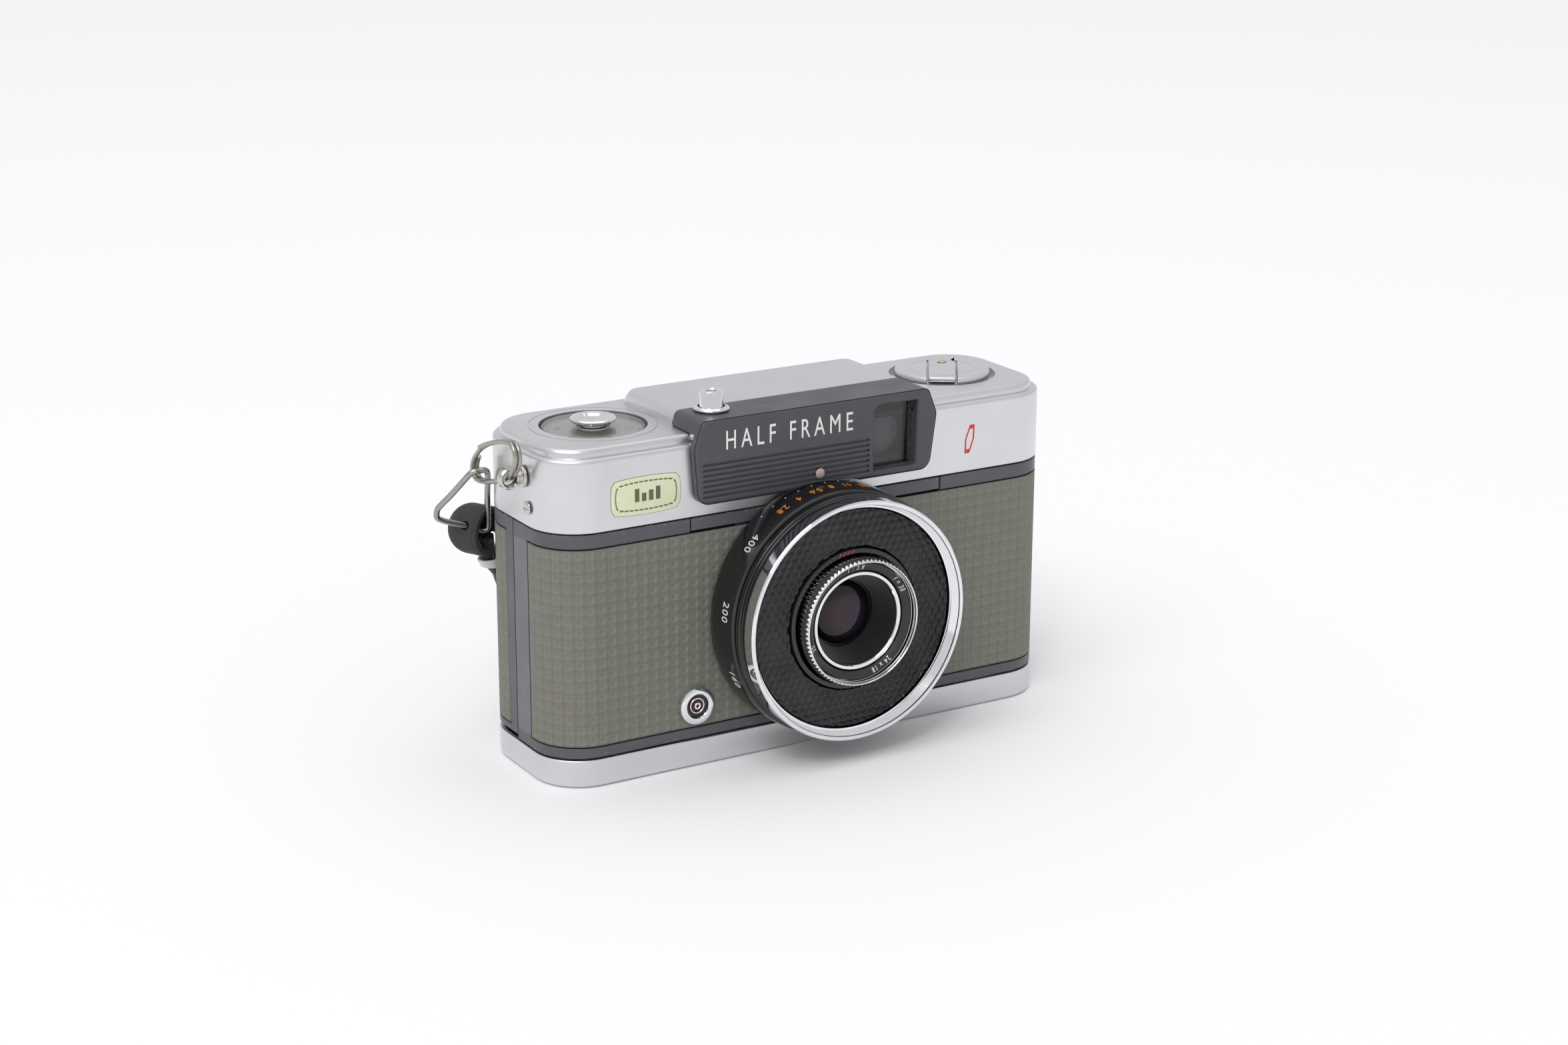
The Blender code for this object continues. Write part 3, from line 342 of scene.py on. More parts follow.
SATIN, CHROME, STEEL = satin(), chrome(), steel()
DULL_CHROME = chrome("dull_chrome", (0.72, 0.73, 0.75), 0.2)
PAINT, WORN = grey_paint(), worn_paint()
LIGHT_PAINT = grey_paint("side_strip_paint", (0.125, 0.13, 0.15))
BLACK, BLACK_RING = black(), black("black_ring", 0.2, dust=0.5)
MATT = black("matt_black", 0.55, (0.012, 0.012, 0.012))
SKIN, CELL, ELEMENT = leatherette(), cell_plastic(), painted_coating_reflection()
WIRE_STEEL = steel("wire_steel", (0.40, 0.385, 0.35), 0.24)
PANE = clear("finder_pane", (0.62, 0.63, 0.65), 0.02)
COUNTER_PANE = clear("counter_pane", (0.93, 0.93, 0.91), 0.12)
RUBBER, BRAID = rubber(), braid()
BRASS = steel("brass", (0.72, 0.55, 0.28), 0.28)
WHITE_INK = print_ink("white_ink", (0.78, 0.78, 0.76))
ORANGE_INK = print_ink("orange_ink", (0.85, 0.25, 0.02))
RED_INK = print_ink("red_ink", (0.62, 0.035, 0.02))
DARK_INK = print_ink("dark_ink", (0.035, 0.04, 0.035))
CREAM = plastic("label_cream", (0.72, 0.74, 0.50), 0.45, 1.5, 0.06, 0.008)
LABEL_LINE = print_ink("label_line", (0.10, 0.13, 0.07))
PALE = plastic("pale_plastic", (0.62, 0.62, 0.60), 0.4)
DIAL_GREY = plastic("dial_grey", (0.40, 0.40, 0.375), 0.4)
BROWN = plastic("brown_insulator", (0.11, 0.03, 0.02), 0.45)
CASTING = plastic("cast_alloy", (0.03, 0.03, 0.032), 0.55, 1.2, 0.08, 0.06)


# --- shapes ---------------------------------------------------------------------------------------

def drop(piece):
    mesh = piece.data
    bpy.data.objects.remove(piece, do_unlink=True)
    bpy.data.meshes.remove(mesh)


def finish(name, bm, material=None, smooth=32):
    bmesh.ops.recalc_face_normals(bm, faces=bm.faces)
    mesh = bpy.data.meshes.new(name)
    bm.to_mesh(mesh)
    bm.free()
    mesh.shade_smooth()
    mesh.set_sharp_from_angle(angle=math.radians(smooth))
    piece = bpy.data.objects.new(name, mesh)
    scene.collection.objects.link(piece)
    if material:
        mesh.materials.append(material)
    return piece


def rounded(corners, radii, inset=0.0, steps=8):
    """A convex outline, anticlockwise, moved in by inset, with an arc at each corner."""
    count = len(corners)
    radii = radii if hasattr(radii, "__len__") else [radii] * count
    lines = []
    for here, there in zip(corners, list(corners[1:]) + [corners[0]]):
        start = Vector(here)
        way = (Vector(there) - start).normalized()
        lines.append((start + Vector((-way.y, way.x)) * inset, way))
    outline = []
    for index in range(count):
        (start_in, way_in), (start_out, way_out) = lines[index - 1], lines[index]
        turn = way_in.x * way_out.y - way_in.y * way_out.x
        across = start_out - start_in
        corner = start_in + way_in * ((across.x * way_out.y - across.y * way_out.x) / turn)
        radius = max(radii[index] - inset, 0.05)
        half = math.atan2(turn, way_in.dot(way_out)) / 2
        centre = corner + (way_out - way_in).normalized() * (radius / math.cos(half))
        first = math.atan2(-way_in.x, way_in.y)
        for step in range(steps + 1):
            angle = first + 2 * half * step / steps
            outline.append(centre + Vector((math.cos(angle), math.sin(angle))) * radius)
    return outline


CORNER_STEPS = 20


def body_outline(inset=0.0):
    corners = [(-HALF_W, FRONT), (HALF_W, FRONT), (HALF_W, BACK), (-HALF_W, BACK)]
    return rounded(corners, (FRONT_R, FRONT_R, BACK_R, BACK_R), inset, CORNER_STEPS)


def box_outline(x_low, x_high, low, high, radius=0.3, inset=0.0, steps=5):
    return rounded([(x_low, low), (x_high, low), (x_high, high), (x_low, high)], radius, inset, steps)


def level(outline, z):
    return [(point[0], point[1], z) for point in outline]


def upright(outline, y):
    return [(point[0], y, point[1]) for point in outline]


def loft(name, rings, material=None, ring_round=False, smooth=32):
    bm = bmesh.new()
    rows = [[bm.verts.new(Vector(point) * MM) for point in ring] for ring in rings]
    pairs = list(zip(rows, rows[1:])) + ([(rows[-1], rows[0])] if ring_round else [])
    for low, high in pairs:
        for index in range(len(low)):
            bm.faces.new((low[index - 1], low[index], high[index], high[index - 1]))
    if not ring_round:
        bm.faces.new(rows[0])
        bm.faces.new(rows[-1])
    bmesh.ops.remove_doubles(bm, verts=bm.verts, dist=0.0000005)
    return finish(name, bm, material, smooth)


def block(name, low, high, material=None):
    bm = bmesh.new()
    bmesh.ops.create_cube(bm, size=1.0)
    bmesh.ops.scale(bm, vec=(Vector(high) - Vector(low)) * MM, verts=bm.verts)
    bmesh.ops.translate(bm, vec=(Vector(high) + Vector(low)) * MM / 2, verts=bm.verts)
    return finish(name, bm, material)


def rod(name, start, end, radius, material=None, sides=64):
    way = Vector(end) - Vector(start)
    bm = bmesh.new()
    bmesh.ops.create_cone(bm, cap_ends=True, segments=sides, radius1=radius * MM, radius2=radius * MM,
        depth=way.length * MM)
    turn = Vector((0, 0, 1)).rotation_difference(way).to_matrix().to_4x4()
    middle = (Vector(start) + Vector(end)) * MM / 2
    bmesh.ops.transform(bm, matrix=Matrix.Translation(middle) @ turn, verts=bm.verts)
    return finish(name, bm, material)


def lathe(name, profile, material, at, way=(0, 0, 1), steps=128, wave=None, smooth=32):
    """A closed solid turned from (radius, height) points. Points at radius 0 close its ends, and a
    profile that has none there is a ring. wave(index, step) changes a point's radius."""
    turn = Vector((0, 0, 1)).rotation_difference(Vector(way)).to_matrix()
    rings = []
    for step in range(steps):
        angle = 2 * math.pi * step / steps
        ring = []
        for index, (radius, height) in enumerate(profile):
            r = radius + (wave(index, step) if wave and radius > 0 else 0.0)
            ring.append(Vector(at) + turn @ Vector((r * math.cos(angle), r * math.sin(angle), height)))
        rings.append(ring)
    bm = bmesh.new()
    rows = [[bm.verts.new(point * MM) for point in ring] for ring in rings]
    solid = profile[0][0] == 0 and profile[-1][0] == 0
    for low, high in zip(rows, rows[1:] + rows[:1]):
        for index in range(0 if not solid else 1, len(profile)):
            corners = (low[index - 1], low[index], high[index], high[index - 1])
            bm.faces.new(corners)
    bmesh.ops.remove_doubles(bm, verts=bm.verts, dist=0.0000005)
    return finish(name, bm, material, smooth)


def lens(name, profile, material, steps=128, wave=None, smooth=32):
    return lathe(name, profile, material, LENS, (0, -1, 0), steps, wave, smooth)


def ring_profile(outer, inner, front, back, edge=0.15):
    """A plain ring's profile, with small chamfers on its four edges."""
    return [(outer - edge, front), (outer, front - edge), (outer, back + edge), (outer - edge, back),
        (inner + edge, back), (inner, back + edge), (inner, front - edge), (inner + edge, front)]


def bake(piece):
    """Applies the piece's modifiers, so that it keeps its shape when its body moves."""
    graph = bpy.context.evaluated_depsgraph_get()
    mesh = bpy.data.meshes.new_from_object(piece.evaluated_get(graph))
    old = piece.data
    piece.modifiers.clear()
    piece.data = mesh
    bpy.data.meshes.remove(old)
    return piece


def combine(piece, others, operation="DIFFERENCE", smooth=32):
    for other in others:
        modifier = piece.modifiers.new("cut", "BOOLEAN")
        modifier.operation = operation
        modifier.object = other
    bpy.context.view_layer.update()
    bake(piece)
    for other in others:
        drop(other)
    piece.data.shade_smooth()
    piece.data.set_sharp_from_angle(angle=math.radians(smooth))
    return piece


def soften(piece, width, segments=2, angle=40):
    """Rounds the piece's sharp edges a little, so that they catch the light."""
    bevel = piece.modifiers.new("soften", "BEVEL")
    bevel.width = width * MM
    bevel.segments = segments
    bevel.limit_method = "ANGLE"
    bevel.angle_limit = math.radians(angle)
    bevel.harden_normals = True
    bpy.context.view_layer.update()
    return bake(piece)


def show(piece, body, *nodes, slot=None):
    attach(piece, body)
    if nodes:
        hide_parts(*nodes)
    return piece


def smooth_line(points, spacing, closed=False):
    points = [Vector(point) for point in points]
    count = len(points)
    found = []
    for index in range(count if closed else count - 1):
        if closed:
            a, b, c, d = (points[(index + k) % count] for k in (-1, 0, 1, 2))
        else:
            a, b = points[max(index - 1, 0)], points[index]
            c, d = points[index + 1], points[min(index + 2, count - 1)]
        pieces = max(1, round((c - b).length / spacing))
        for piece in range(pieces):
            t = piece / pieces
            found.append(0.5 * (2 * b + (c - a) * t + (2 * a - 5 * b + 4 * c - d) * t * t
                + (3 * b - a - 3 * c + d) * t ** 3))
    return found if closed else found + [points[-1]]


def pipe(name, points, radius, material, closed=False, sides=16):
    """A round tube along the points, with UVs that run round it and along it in mm."""
    points = [Vector(point) for point in points]
    count = len(points)
    ways = []
    for index in range(count):
        if closed:
            way = points[(index + 1) % count] - points[index - 1]
        else:
            way = points[min(index + 1, count - 1)] - points[max(index - 1, 0)]
        ways.append(way.normalized())
    side = ways[0].orthogonal().normalized()
    frames = []
    for index, way in enumerate(ways):
        if index:
            side = ways[index - 1].rotation_difference(way) @ side
        side = (side - way * side.dot(way)).normalized()
        frames.append((side, way.cross(side)))
    twist = 0.0
    if closed:
        last = ways[-1].rotation_difference(ways[0]) @ frames[-1][0]
        twist = math.atan2(last.dot(frames[0][1]), last.dot(frames[0][0]))
    bm = bmesh.new()
    uv = bm.loops.layers.uv.new("UVMap")
    rows, run = [], [0.0]
    for index, (point, (u, v)) in enumerate(zip(points, frames)):
        turn = -twist * index / count
        row = []
        for k in range(sides):
            angle = 2 * math.pi * k / sides + turn
            row.append(bm.verts.new((point + (u * math.cos(angle) + v * math.sin(angle)) * radius) * MM))
        rows.append(row)
        if index:
            run.append(run[-1] + (point - points[index - 1]).length)
    pairs = list(zip(rows, rows[1:])) + ([(rows[-1], rows[0])] if closed else [])
    for number, (low, high) in enumerate(pairs):
        start = run[number]
        end = run[number + 1] if number + 1 < len(run) else start + (points[0] - points[-1]).length
        for k in range(sides):
            nxt = (k + 1) % sides
            face = bm.faces.new((low[k], low[nxt], high[nxt], high[k]))
            for loop, spot in zip(face.loops, ((k, start), (k + 1, start), (k + 1, end), (k, end))):
                loop[uv].uv = (spot[0] / sides, spot[1])
    if not closed:
        bm.faces.new(rows[0])
        bm.faces.new(rows[-1])
    return finish(name, bm, material, 60)


def lettering(name, words, size, spacing=1.0, thick=0.04, squeeze=1.0):
    """Generic figures as a thin solid: x along the words, y up, z out, in millimetres, centred."""
    curve = bpy.data.curves.new(name, "FONT")
    curve.body = words
    curve.size = size
    curve.extrude = thick / 2
    curve.space_character = spacing
    curve.align_x, curve.align_y = "CENTER", "CENTER"
    curve.resolution_u = 3
    text = bpy.data.objects.new(name + "_words", curve)
    scene.collection.objects.link(text)
    graph = bpy.context.evaluated_depsgraph_get()
    mesh = bpy.data.meshes.new_from_object(text.evaluated_get(graph))
    bpy.data.objects.remove(text, do_unlink=True)
    bm = bmesh.new()
    bm.from_mesh(mesh)
    bpy.data.meshes.remove(mesh)
    bmesh.ops.remove_doubles(bm, verts=bm.verts, dist=0.0005)
    bmesh.ops.scale(bm, vec=(squeeze, 1, 1), verts=bm.verts)
    return bm


def bar(bm, low, rise):
    """Adds the six-sided bar between four corners and the same four moved by rise, in millimetres."""
    corners = [bm.verts.new((Vector(point) + offset) * MM) for offset in (Vector((0, 0, 0)),
        Vector(rise)) for point in low]
    for face in ((0, 1, 2, 3), (7, 6, 5, 4), (0, 4, 5, 1), (1, 5, 6, 2), (2, 6, 7, 3), (3, 7, 4, 0)):
        bm.faces.new([corners[k] for k in face])


def bend(bm, rule):
    for vert in bm.verts:
        vert.co = Vector(rule(*vert.co)) * MM


# --- covers and shells ----------------------------------------------------------------------------

def half_wall(name, profiles, ends, front, material):
    count = 2 * (CORNER_STEPS + 1)
    first = 0 if front else count
    side = -1 if front else 1
    rings = []
    for profile, end in zip(profiles, ends):
        rings.append([(side * (HALF_W - inset), end, z) for inset, z in profile])
    across = []
    outlines = {inset: body_outline(inset) for inset, z in profiles[-1]}
    for index in range(first, first + count):
        across.append([(*outlines[inset][index], z) for inset, z in profiles[-1]])
    others = [[(-x, y, z) for x, y, z in ring] for ring in reversed(rings)]
    return loft(name, rings + across + others, material)


def shell_profile(seat, low):
    outer, inner, seat_low, seat_high, high = 0.05, 1.5, 7.6, 44.9, 47.4
    seat_in = max(seat, outer)
    return [(outer + 0.12, low), (outer, low + 0.12), (outer, seat_low - 0.1),
        (min(outer + 0.1, seat_in), seat_low), (seat_in, seat_low), (seat_in, seat_high),
        (min(outer + 0.1, seat_in), seat_high), (outer, seat_high + 0.1), (outer, high - 0.12),
        (outer + 0.12, high), (inner, high), (inner, low)]


def front_shell():
    flat, seated = shell_profile(0.05, 5.7), shell_profile(0.85, 5.7)
    piece = half_wall("front_shell_visual", (flat, flat, seated), (0.15, -5.2, -5.2), True, WORN)
    combine(piece, [block("stem", (-16.8, -20, 8.9), (17.8, -10, 60)),
        block("head", (-26.35, -20, 44.3), (27.35, -10, 60)), rod("socket", (SOCKET[0], -19, SOCKET[1]),
        (SOCKET[0], -12, SOCKET[1]), 2.9)])
    show(piece, "camera", "front_shell", slot="dark_grey_paint")
    # a lighter strip up each side of the body
    for side in (-1, 1):
        low, high = sorted((side * 53.46, side * 53.35))
        strip = block(f"side_strip_{'left' if side < 0 else 'right'}", (low, -5.05, 8.0),
            (high, 0.05, 44.5), LIGHT_PAINT)
        show(strip, "camera", slot="dark_grey_paint")


def front_plate():
    head = rounded([(-26.05, FRONT + 0.05), (27.05, FRONT + 0.05), (27.05, -14.25), (-26.05, -14.25)], 0.12,
        0, 3)
    piece = loft("front_plate_visual", [level(head, 45.2), level(head, 47.4)], WORN)
    stem = block("stem", (-16.5, -14.9, 9.2), (17.5, -14.25, 45.8))
    combine(piece, [stem], "UNION")
    combine(piece, [rod("hole", (LENS_X, -20, LENS_Z), (LENS_X, -10, LENS_Z), 7.2)])
    show(piece, "camera", "front_plate", slot="dark_grey_paint")


def back_cover():
    flat, seated = shell_profile(0.05, 6.4), shell_profile(0.85, 6.4)
    piece = half_wall("back_cover_visual", (flat, flat, seated), (0.45, 3.05, 3.05), False, WORN)
    show(piece, "back", "back_cover", slot="dark_grey_paint")


def skin(name, body, nodes, stations, hidden=None):
    """Leatherette with rows of soft dimples. stations gives points along the body's outline,
    and a cell of it that hidden() names is left out."""
    run = [0.0]
    for here, there in zip(stations, stations[1:]):
        run.append(run[-1] + (there - here).length)

    def at(distance):
        index = 0
        while index < len(run) - 2 and run[index + 1] < distance:
            index += 1
        share = (distance - run[index]) / (run[index + 1] - run[index])
        point = stations[index].lerp(stations[index + 1], share)
        way = (stations[index + 1] - stations[index]).normalized()
        return point, Vector((way.y, -way.x))

    def cuts(total):
        """Lines across the skin: each one's place, its depth share and its place in the pattern."""
        count = max(1, round(total / PIT))
        size = total / count
        lines = [(0.0, 0.0, 0.0)]
        for index in range(count):
            for share, deep in ((0.2, 0.0), (0.32, 0.6), (0.43, 0.95), (0.57, 0.95), (0.68, 0.6),
                    (0.8, 0.0)):
                lines.append(((index + share) * size, deep, (index + share) * PIT))
        return lines + [(total, 0.0, count * PIT)]

    across, upward = cuts(run[-1]), cuts(SKIN_HIGH - SKIN_LOW)
    bm = bmesh.new()
    uv = bm.loops.layers.uv.new("UVMap")
    pit = bm.verts.layers.float.new("pit")
    grid = []
    for distance, deep_x, _ in across:
        point, out = at(min(distance, run[-1] - 0.0001))
        row = []
        for height, deep_z, _ in upward:
            deep = deep_x * deep_z
            spot = point - out * (0.02 + PIT_DEEP * deep)
            vert = bm.verts.new(Vector((spot.x, spot.y, SKIN_LOW + height)) * MM)
            vert[pit] = deep
            row.append(vert)
        grid.append(row)
    for i in range(len(across) - 1):
        for j in range(len(upward) - 1):
            face = bm.faces.new((grid[i][j], grid[i + 1][j], grid[i + 1][j + 1], grid[i][j + 1]))
            for loop, (a, b) in zip(face.loops, ((i, j), (i + 1, j), (i + 1, j + 1), (i, j + 1))):
                loop[uv].uv = (across[a][2], upward[b][2])
    if hidden:
        gone = [face for face in bm.faces if hidden(face.calc_center_median() / MM)]
        bmesh.ops.delete(bm, geom=gone, context="FACES")
    piece = finish(name, bm, SKIN, 50)
    thick = piece.modifiers.new("thick", "SOLIDIFY")
    thick.thickness = 0.45 * MM
    thick.offset = -1.0
    bpy.context.view_layer.update()
    bake(piece)
    show(piece, body, *nodes, slot="grey_leatherette")
    return piece


def skins():
    outline = body_outline()
    count = 2 * (CORNER_STEPS + 1)
    front = outline[:count]
    middle = Vector((LENS_X, FRONT))
    left = [Vector((-HALF_W, -5.5))] + front[:CORNER_STEPS + 1] + [middle]
    right = [middle] + front[CORNER_STEPS + 1:] + [Vector((HALF_W, -5.5))]
    around = [Vector((HALF_W, 3.35))] + outline[count:] + [Vector((-HALF_W, 3.35))]

    def under_lens(point):
        near_socket = (Vector((point.x, point.z)) - Vector(SOCKET)).length < 3.3 and point.y < 0
        return near_socket or (Vector((point.x, point.z)) - Vector((LENS_X, LENS_Z))).length < 21.4

    skin("leatherette_left_visual", "camera", ["leatherette_left"], left, under_lens)
    skin("leatherette_right_visual", "camera", ["leatherette_right"], right, under_lens)
    skin("back_leatherette_visual", "back", ["back_leatherette"], around)


def base_cover():
    steps = ((0.9, 0.9), (0.9, 5.18), (0.78, 5.3), (0.12, 5.3), (0, 5.18), (0, 0.95), (0.06, 0.6),
        (0.25, 0.3), (0.55, 0.08), (0.95, 0))
    tray = loft("base_cover_visual", [level(body_outline(inset), z) for inset, z in steps], SATIN,
        smooth=28)
    combine(tray, [rod("tripod", (*TRIPOD, -1), (*TRIPOD, 2), 5.3),
        rod("lock", (*LOCK, -1), (*LOCK, 2), 8.9)])
    show(tray, "back", "base_cover", slot="satin_silver")
    thread = [(3.1 + 0.18 * (k % 2), 0.5 + 0.33 * k) for k in range(13)]
    bush = lathe("tripod_bush_visual", [(4.85, 0.2), (3.4, 0.2)] + thread + [(3.1, 4.8), (4.2, 4.8),
        (4.2, 1.2), (5.0, 1.2), (5.0, 0.35)], BRASS, (*TRIPOD, 0), steps=64)
    show(bush, "back", "tripod_bush", slot="brass")
    disc = lathe("lock_disc_visual", [(0, 0.2), (8.35, 0.2), (8.6, 0.45), (8.6, 1.9), (0, 1.9)], STEEL,
        (*LOCK, 0), steps=96)
    combine(disc, [block("seat", (15.8, -2.6, -1), (28.2, 2.6, 1.05))])
    show(disc, "lock", "lock_disc", slot="plain_steel")
    key = loft("lock_key_visual", [level(box_outline(16.2, 27.8, -2.2, 2.2, 1.0, inset, 8), z)
        for inset, z in ((0.15, 0.25), (0, 0.38), (0, 0.7))], STEEL)
    combine(key, [rod("hole", (25.4, 0, -1), (25.4, 0, 2), 1.0, None, 32)])
    show(key, "key", "lock_key", slot="plain_steel")


def hump_outline(inset, front, rear):
    return rounded([(-25.2, front), (24.0, front), (24.0, rear), (-25.2, rear)], (0.4, 0.4, 2.6, 2.6),
        inset, 8)


def curve_steps(points, spacing=0.12):
    """Fills in a profile of (inset, z) with a smooth curve."""
    line = smooth_line([(inset, z, 0) for inset, z in points], spacing)
    return [(p.x, p.y) for p in line]


def top_cover():
    shoulder = curve_steps(((0, 60.2), (0.05, 60.55), (0.25, 60.85), (0.6, 61.0), (1.0, 61.04)), 0.15)
    upper = curve_steps(((1.3, 61.1), (1.34, 61.6), (1.45, 62.05), (1.7, 62.4), (2.1, 62.57), (2.5, 62.6)),
        0.18)
    steps = [(0.1, 47.7), (0, 47.8), (0, 54), *shoulder, *upper]
    cover = loft("top_cover_visual", [level(body_outline(inset), z) for inset, z in steps], SATIN)
    rise = curve_steps(((0, 61.5), (0.0, 62.7), (0.12, 63.8), (0.45, 64.75), (0.95, 65.2), (1.7, 65.35)),
        0.2)
    hump = []
    for inset, z in rise:
        rear = 13.9 - (z - 61.5) * 0.66 + inset * 0.2
        hump.append(level(hump_outline(inset, -15.3, rear), z))
    combine(cover, [loft("hump", hump)], "UNION")
    room = loft("room", [level(body_outline(inset), z)
        for inset, z in ((1.1, 40), (1.1, 59.9), (2.6, 61.5))])
    hump_room = loft("hump_room", [level(hump_outline(1.3, -15.9, rear), z)
        for rear, z in ((13.4, 55), (12.6, 62.5), (11.6, 63.35))])
    combine(cover, [room, hump_room])
    combine(cover, [rod("cup", (*REWIND, 60.3), (*REWIND, 62.0), 11.5, None, 96)], "UNION")
    x, y = COUNTER
    groove = lathe("groove", ring_profile(11.72, 11.5, 63.0, 62.45, 0.02), None, (x, y, 0), steps=96)
    cutters = [rod("recess", (*REWIND, 61.3), (*REWIND, 66), 10.2, None, 128),
        rod("bore", (*REWIND, 58), (*REWIND, 66), 2.6), block("seat", (-40, -20, 64.25), (40, -7.5, 70)),
        block("seat_left", (-40, -20, 62.61), (-24.25, -7.5, 70)), block("seat_right", (23.05, -20, 62.61),
        (40, -7.5, 70)), rod("button", (*BUTTON, 58), (*BUTTON, 70), 3.3),
        rod("counter", (*COUNTER, 58), (*COUNTER, 70), 9.8, None, 128),
        block("finder", (11.2, -20, 51.3), (20.8, -12, 63.6)),
        loft("eyepiece_hole", [upright(box_outline(11.7, 20.1, 52.2, 59.8, 1.0), y) for y in (12.0, 17.0)]),
        rod("undo", (UNDO[0], 10, UNDO[1]), (UNDO[0], 18, UNDO[1]), 2.5),
        block("wheel", (-47.5, 11, 49.4), (-26.5, 18, 55.3)), groove]
    combine(cover, cutters)
    for side in (-1, 1):
        combine(cover, [rod("screw", (side * 60, *SCREW), (side * 51, *SCREW), 0.9, None, 24)])
    combine(cover, [rod("index", (INDEX[0], -20, INDEX[1]), (INDEX[0], -12, INDEX[1]), 0.9, None, 24)],
        smooth=28)
    show(cover, "camera", "top_cover", slot="satin_silver")


def fascia_outline(inset=0.0):
    corners = [(-25.5, 50.0), (23.6, 50.0), (25.1, 60.5), (23.2, 65.45), (-24.7, 65.45), (-26.4, 60.5)]
    return rounded(corners, (2.4, 2.4, 2.5, 1.4, 1.4, 2.5), inset, 8)


RIBS, RIB_PITCH, RIB_LOW = 6, 0.98, 51.55


def front_fascia():
    edge = curve_steps(((0, -7.8), (0, -16.6), (0.03, -16.95), (0.2, -17.35), (0.5, -17.6), (0.85, -17.65)),
        0.2)
    rings = [upright(fascia_outline(inset), y) for inset, y in edge if y <= -16.5 or y > -8]
    fascia = loft("front_fascia_visual", rings, PAINT)
    hole = rounded([(11.2, 51.3), (20.3, 51.3), (20.8, 63.6), (11.2, 63.6)], (0.3, 0.3, 0.5, 1.6), 0, 8)
    outer_hole = rounded([(10.9, 51.0), (20.6, 51.0), (21.1, 63.9), (10.9, 63.9)], (0.4, 0.4, 0.6, 1.8), 0,
        8)
    combine(fascia, [block("lip", (-24.6, -16.05, 45), (23.4, 0, 64.55)),
        block("cheeks", (-40, -16.05, 45), (40, 0, 62.9)),
        loft("opening", [upright(hole, -14), upright(hole, -17.4), upright(outer_hole, -17.75)]),
        rod("collar", (*BUTTON, 60), (*BUTTON, 70), 3.0), rod("notch", (LENS_X, -20, LENS_Z),
        (LENS_X, -12, LENS_Z), 23.65, None, 192), rod("index", (INDEX[0], -20, INDEX[1]),
        (INDEX[0], -12, INDEX[1]), 0.9, None, 24)])
    for index in range(RIBS + 1):
        z = RIB_LOW + RIB_PITCH * index
        groove = [(-0.27, 0.0), (-0.12, 0.36), (0.12, 0.36), (0.27, 0.0), (0.3, -0.4), (-0.3, -0.4)]
        ends = []
        for x in (-24.7, 10.2):
            ends.append([(x, -17.65 + deep, z + up) for up, deep in groove])
        combine(fascia, [loft("groove", ends)])
    show(fascia, "camera", "front_fascia", slot="dark_grey_paint")
    words = lettering("fascia_words", "HALF FRAME", 5.0, 1.5, 0.08, 0.68)
    bend(words, lambda x, y, z: (-6.8 + x, -17.66 - z, 61.3 + y))
    show(finish("fascia_words", words, WHITE_INK, 30), "camera")
    pin = lathe("index_pin_visual", [(0, 2.35), (0.5, 2.32), (0.78, 2.2), (0.95, 2.0), (0.95, 1.95),
        (0.5, 1.95), (0.5, 0.6), (0, 0.6)], print_ink("pin_face", (0.42, 0.33, 0.32), 0.3),
        (INDEX[0], FRONT, INDEX[1]), (0, -1, 0), 48)
    show(pin, "camera", "index_pin", slot="chrome")


# --- what sits on the covers ----------------------------------------------------------------------

def finder():
    pane = loft("viewfinder_window_visual", [upright(box_outline(11.5, 20.5, 51.6, 63.3, 0.5),
        y) for y in (-15.5, -14.7)], PANE)
    show(pane, "camera", "viewfinder_window", slot="coated_glass")
    # the opaque light grey dome behind the finder window is a painted reflection of the finder's curved lens
    dome = [(0.0, 1.1)] + [(4.3 * math.sin(math.radians(a)), 0.2 + 0.9 * math.cos(math.radians(a)))
        for a in range(15, 91, 15)] + [(4.3, 0.0), (0.0, 0.0)]
    inner = lathe("finder_lens", dome, print_ink("finder_lens_painted_reflection", (0.16, 0.165, 0.17), 0.1),
        (14.6, -13.2, 57.6), (0, -1, 0), 64)
    combine(inner, [block("trim", (9, -20, 40), (12.1, -5, 70)), block("trim2", (8, -20, 61.2 - 0.9),
        (30, -5, 70))])
    show(inner, "camera", slot="coated_glass")
    rim = loft("eyepiece_visual", [upright(box_outline(10.9, 20.9, 51.4, 60.6, 1.4, inset, 8), y)
        for inset, y in ((0.1, 16.05), (0, 16.15), (0, 16.6), (0.12, 16.8), (0.4, 16.9))], BLACK)
    combine(rim, [loft("neck", [upright(box_outline(12.0, 19.8, 52.5, 59.5, 0.9, 0, 8), y) for y in (13.2,
        16.3)])], "UNION")
    combine(rim, [loft("way", [upright(box_outline(12.8, 19.0, 53.3, 58.7, 0.6, 0, 8), y) for y in (12,
        18)])])
    show(rim, "camera", "eyepiece", slot="black_enamel")
    eye = lathe("eyepiece_lens_visual", [(0, 1.1), (0.8, 1.02), (1.6, 0.8), (2.3, 0.45), (2.3, 0), (0, 0)],
        ELEMENT, (15.9, 13.6, 56.0), (0, 1, 0), 48)
    show(eye, "camera", "eyepiece_lens", slot="coated_glass")


def screws():
    for side, word in ((-1, "left"), (1, "right")):
        head = lathe(f"cover_screw_{word}_visual", [(0, 54.05), (0.5, 54.14), (0.95, 54.08), (1.2, 53.92),
            (1.25, 53.8), (0.55, 53.8), (0.55, 52.4), (0, 52.4)], STEEL, (0, *SCREW), (side, 0, 0), 48)
        combine(head, [block("slot", (min(side * 53.95, side * 54.4), -8, 51.02),
            (max(side * 53.95, side * 54.4), -4.5, 51.38))])
        show(head, "camera", "cover_screw_" + word, slot="plain_steel")


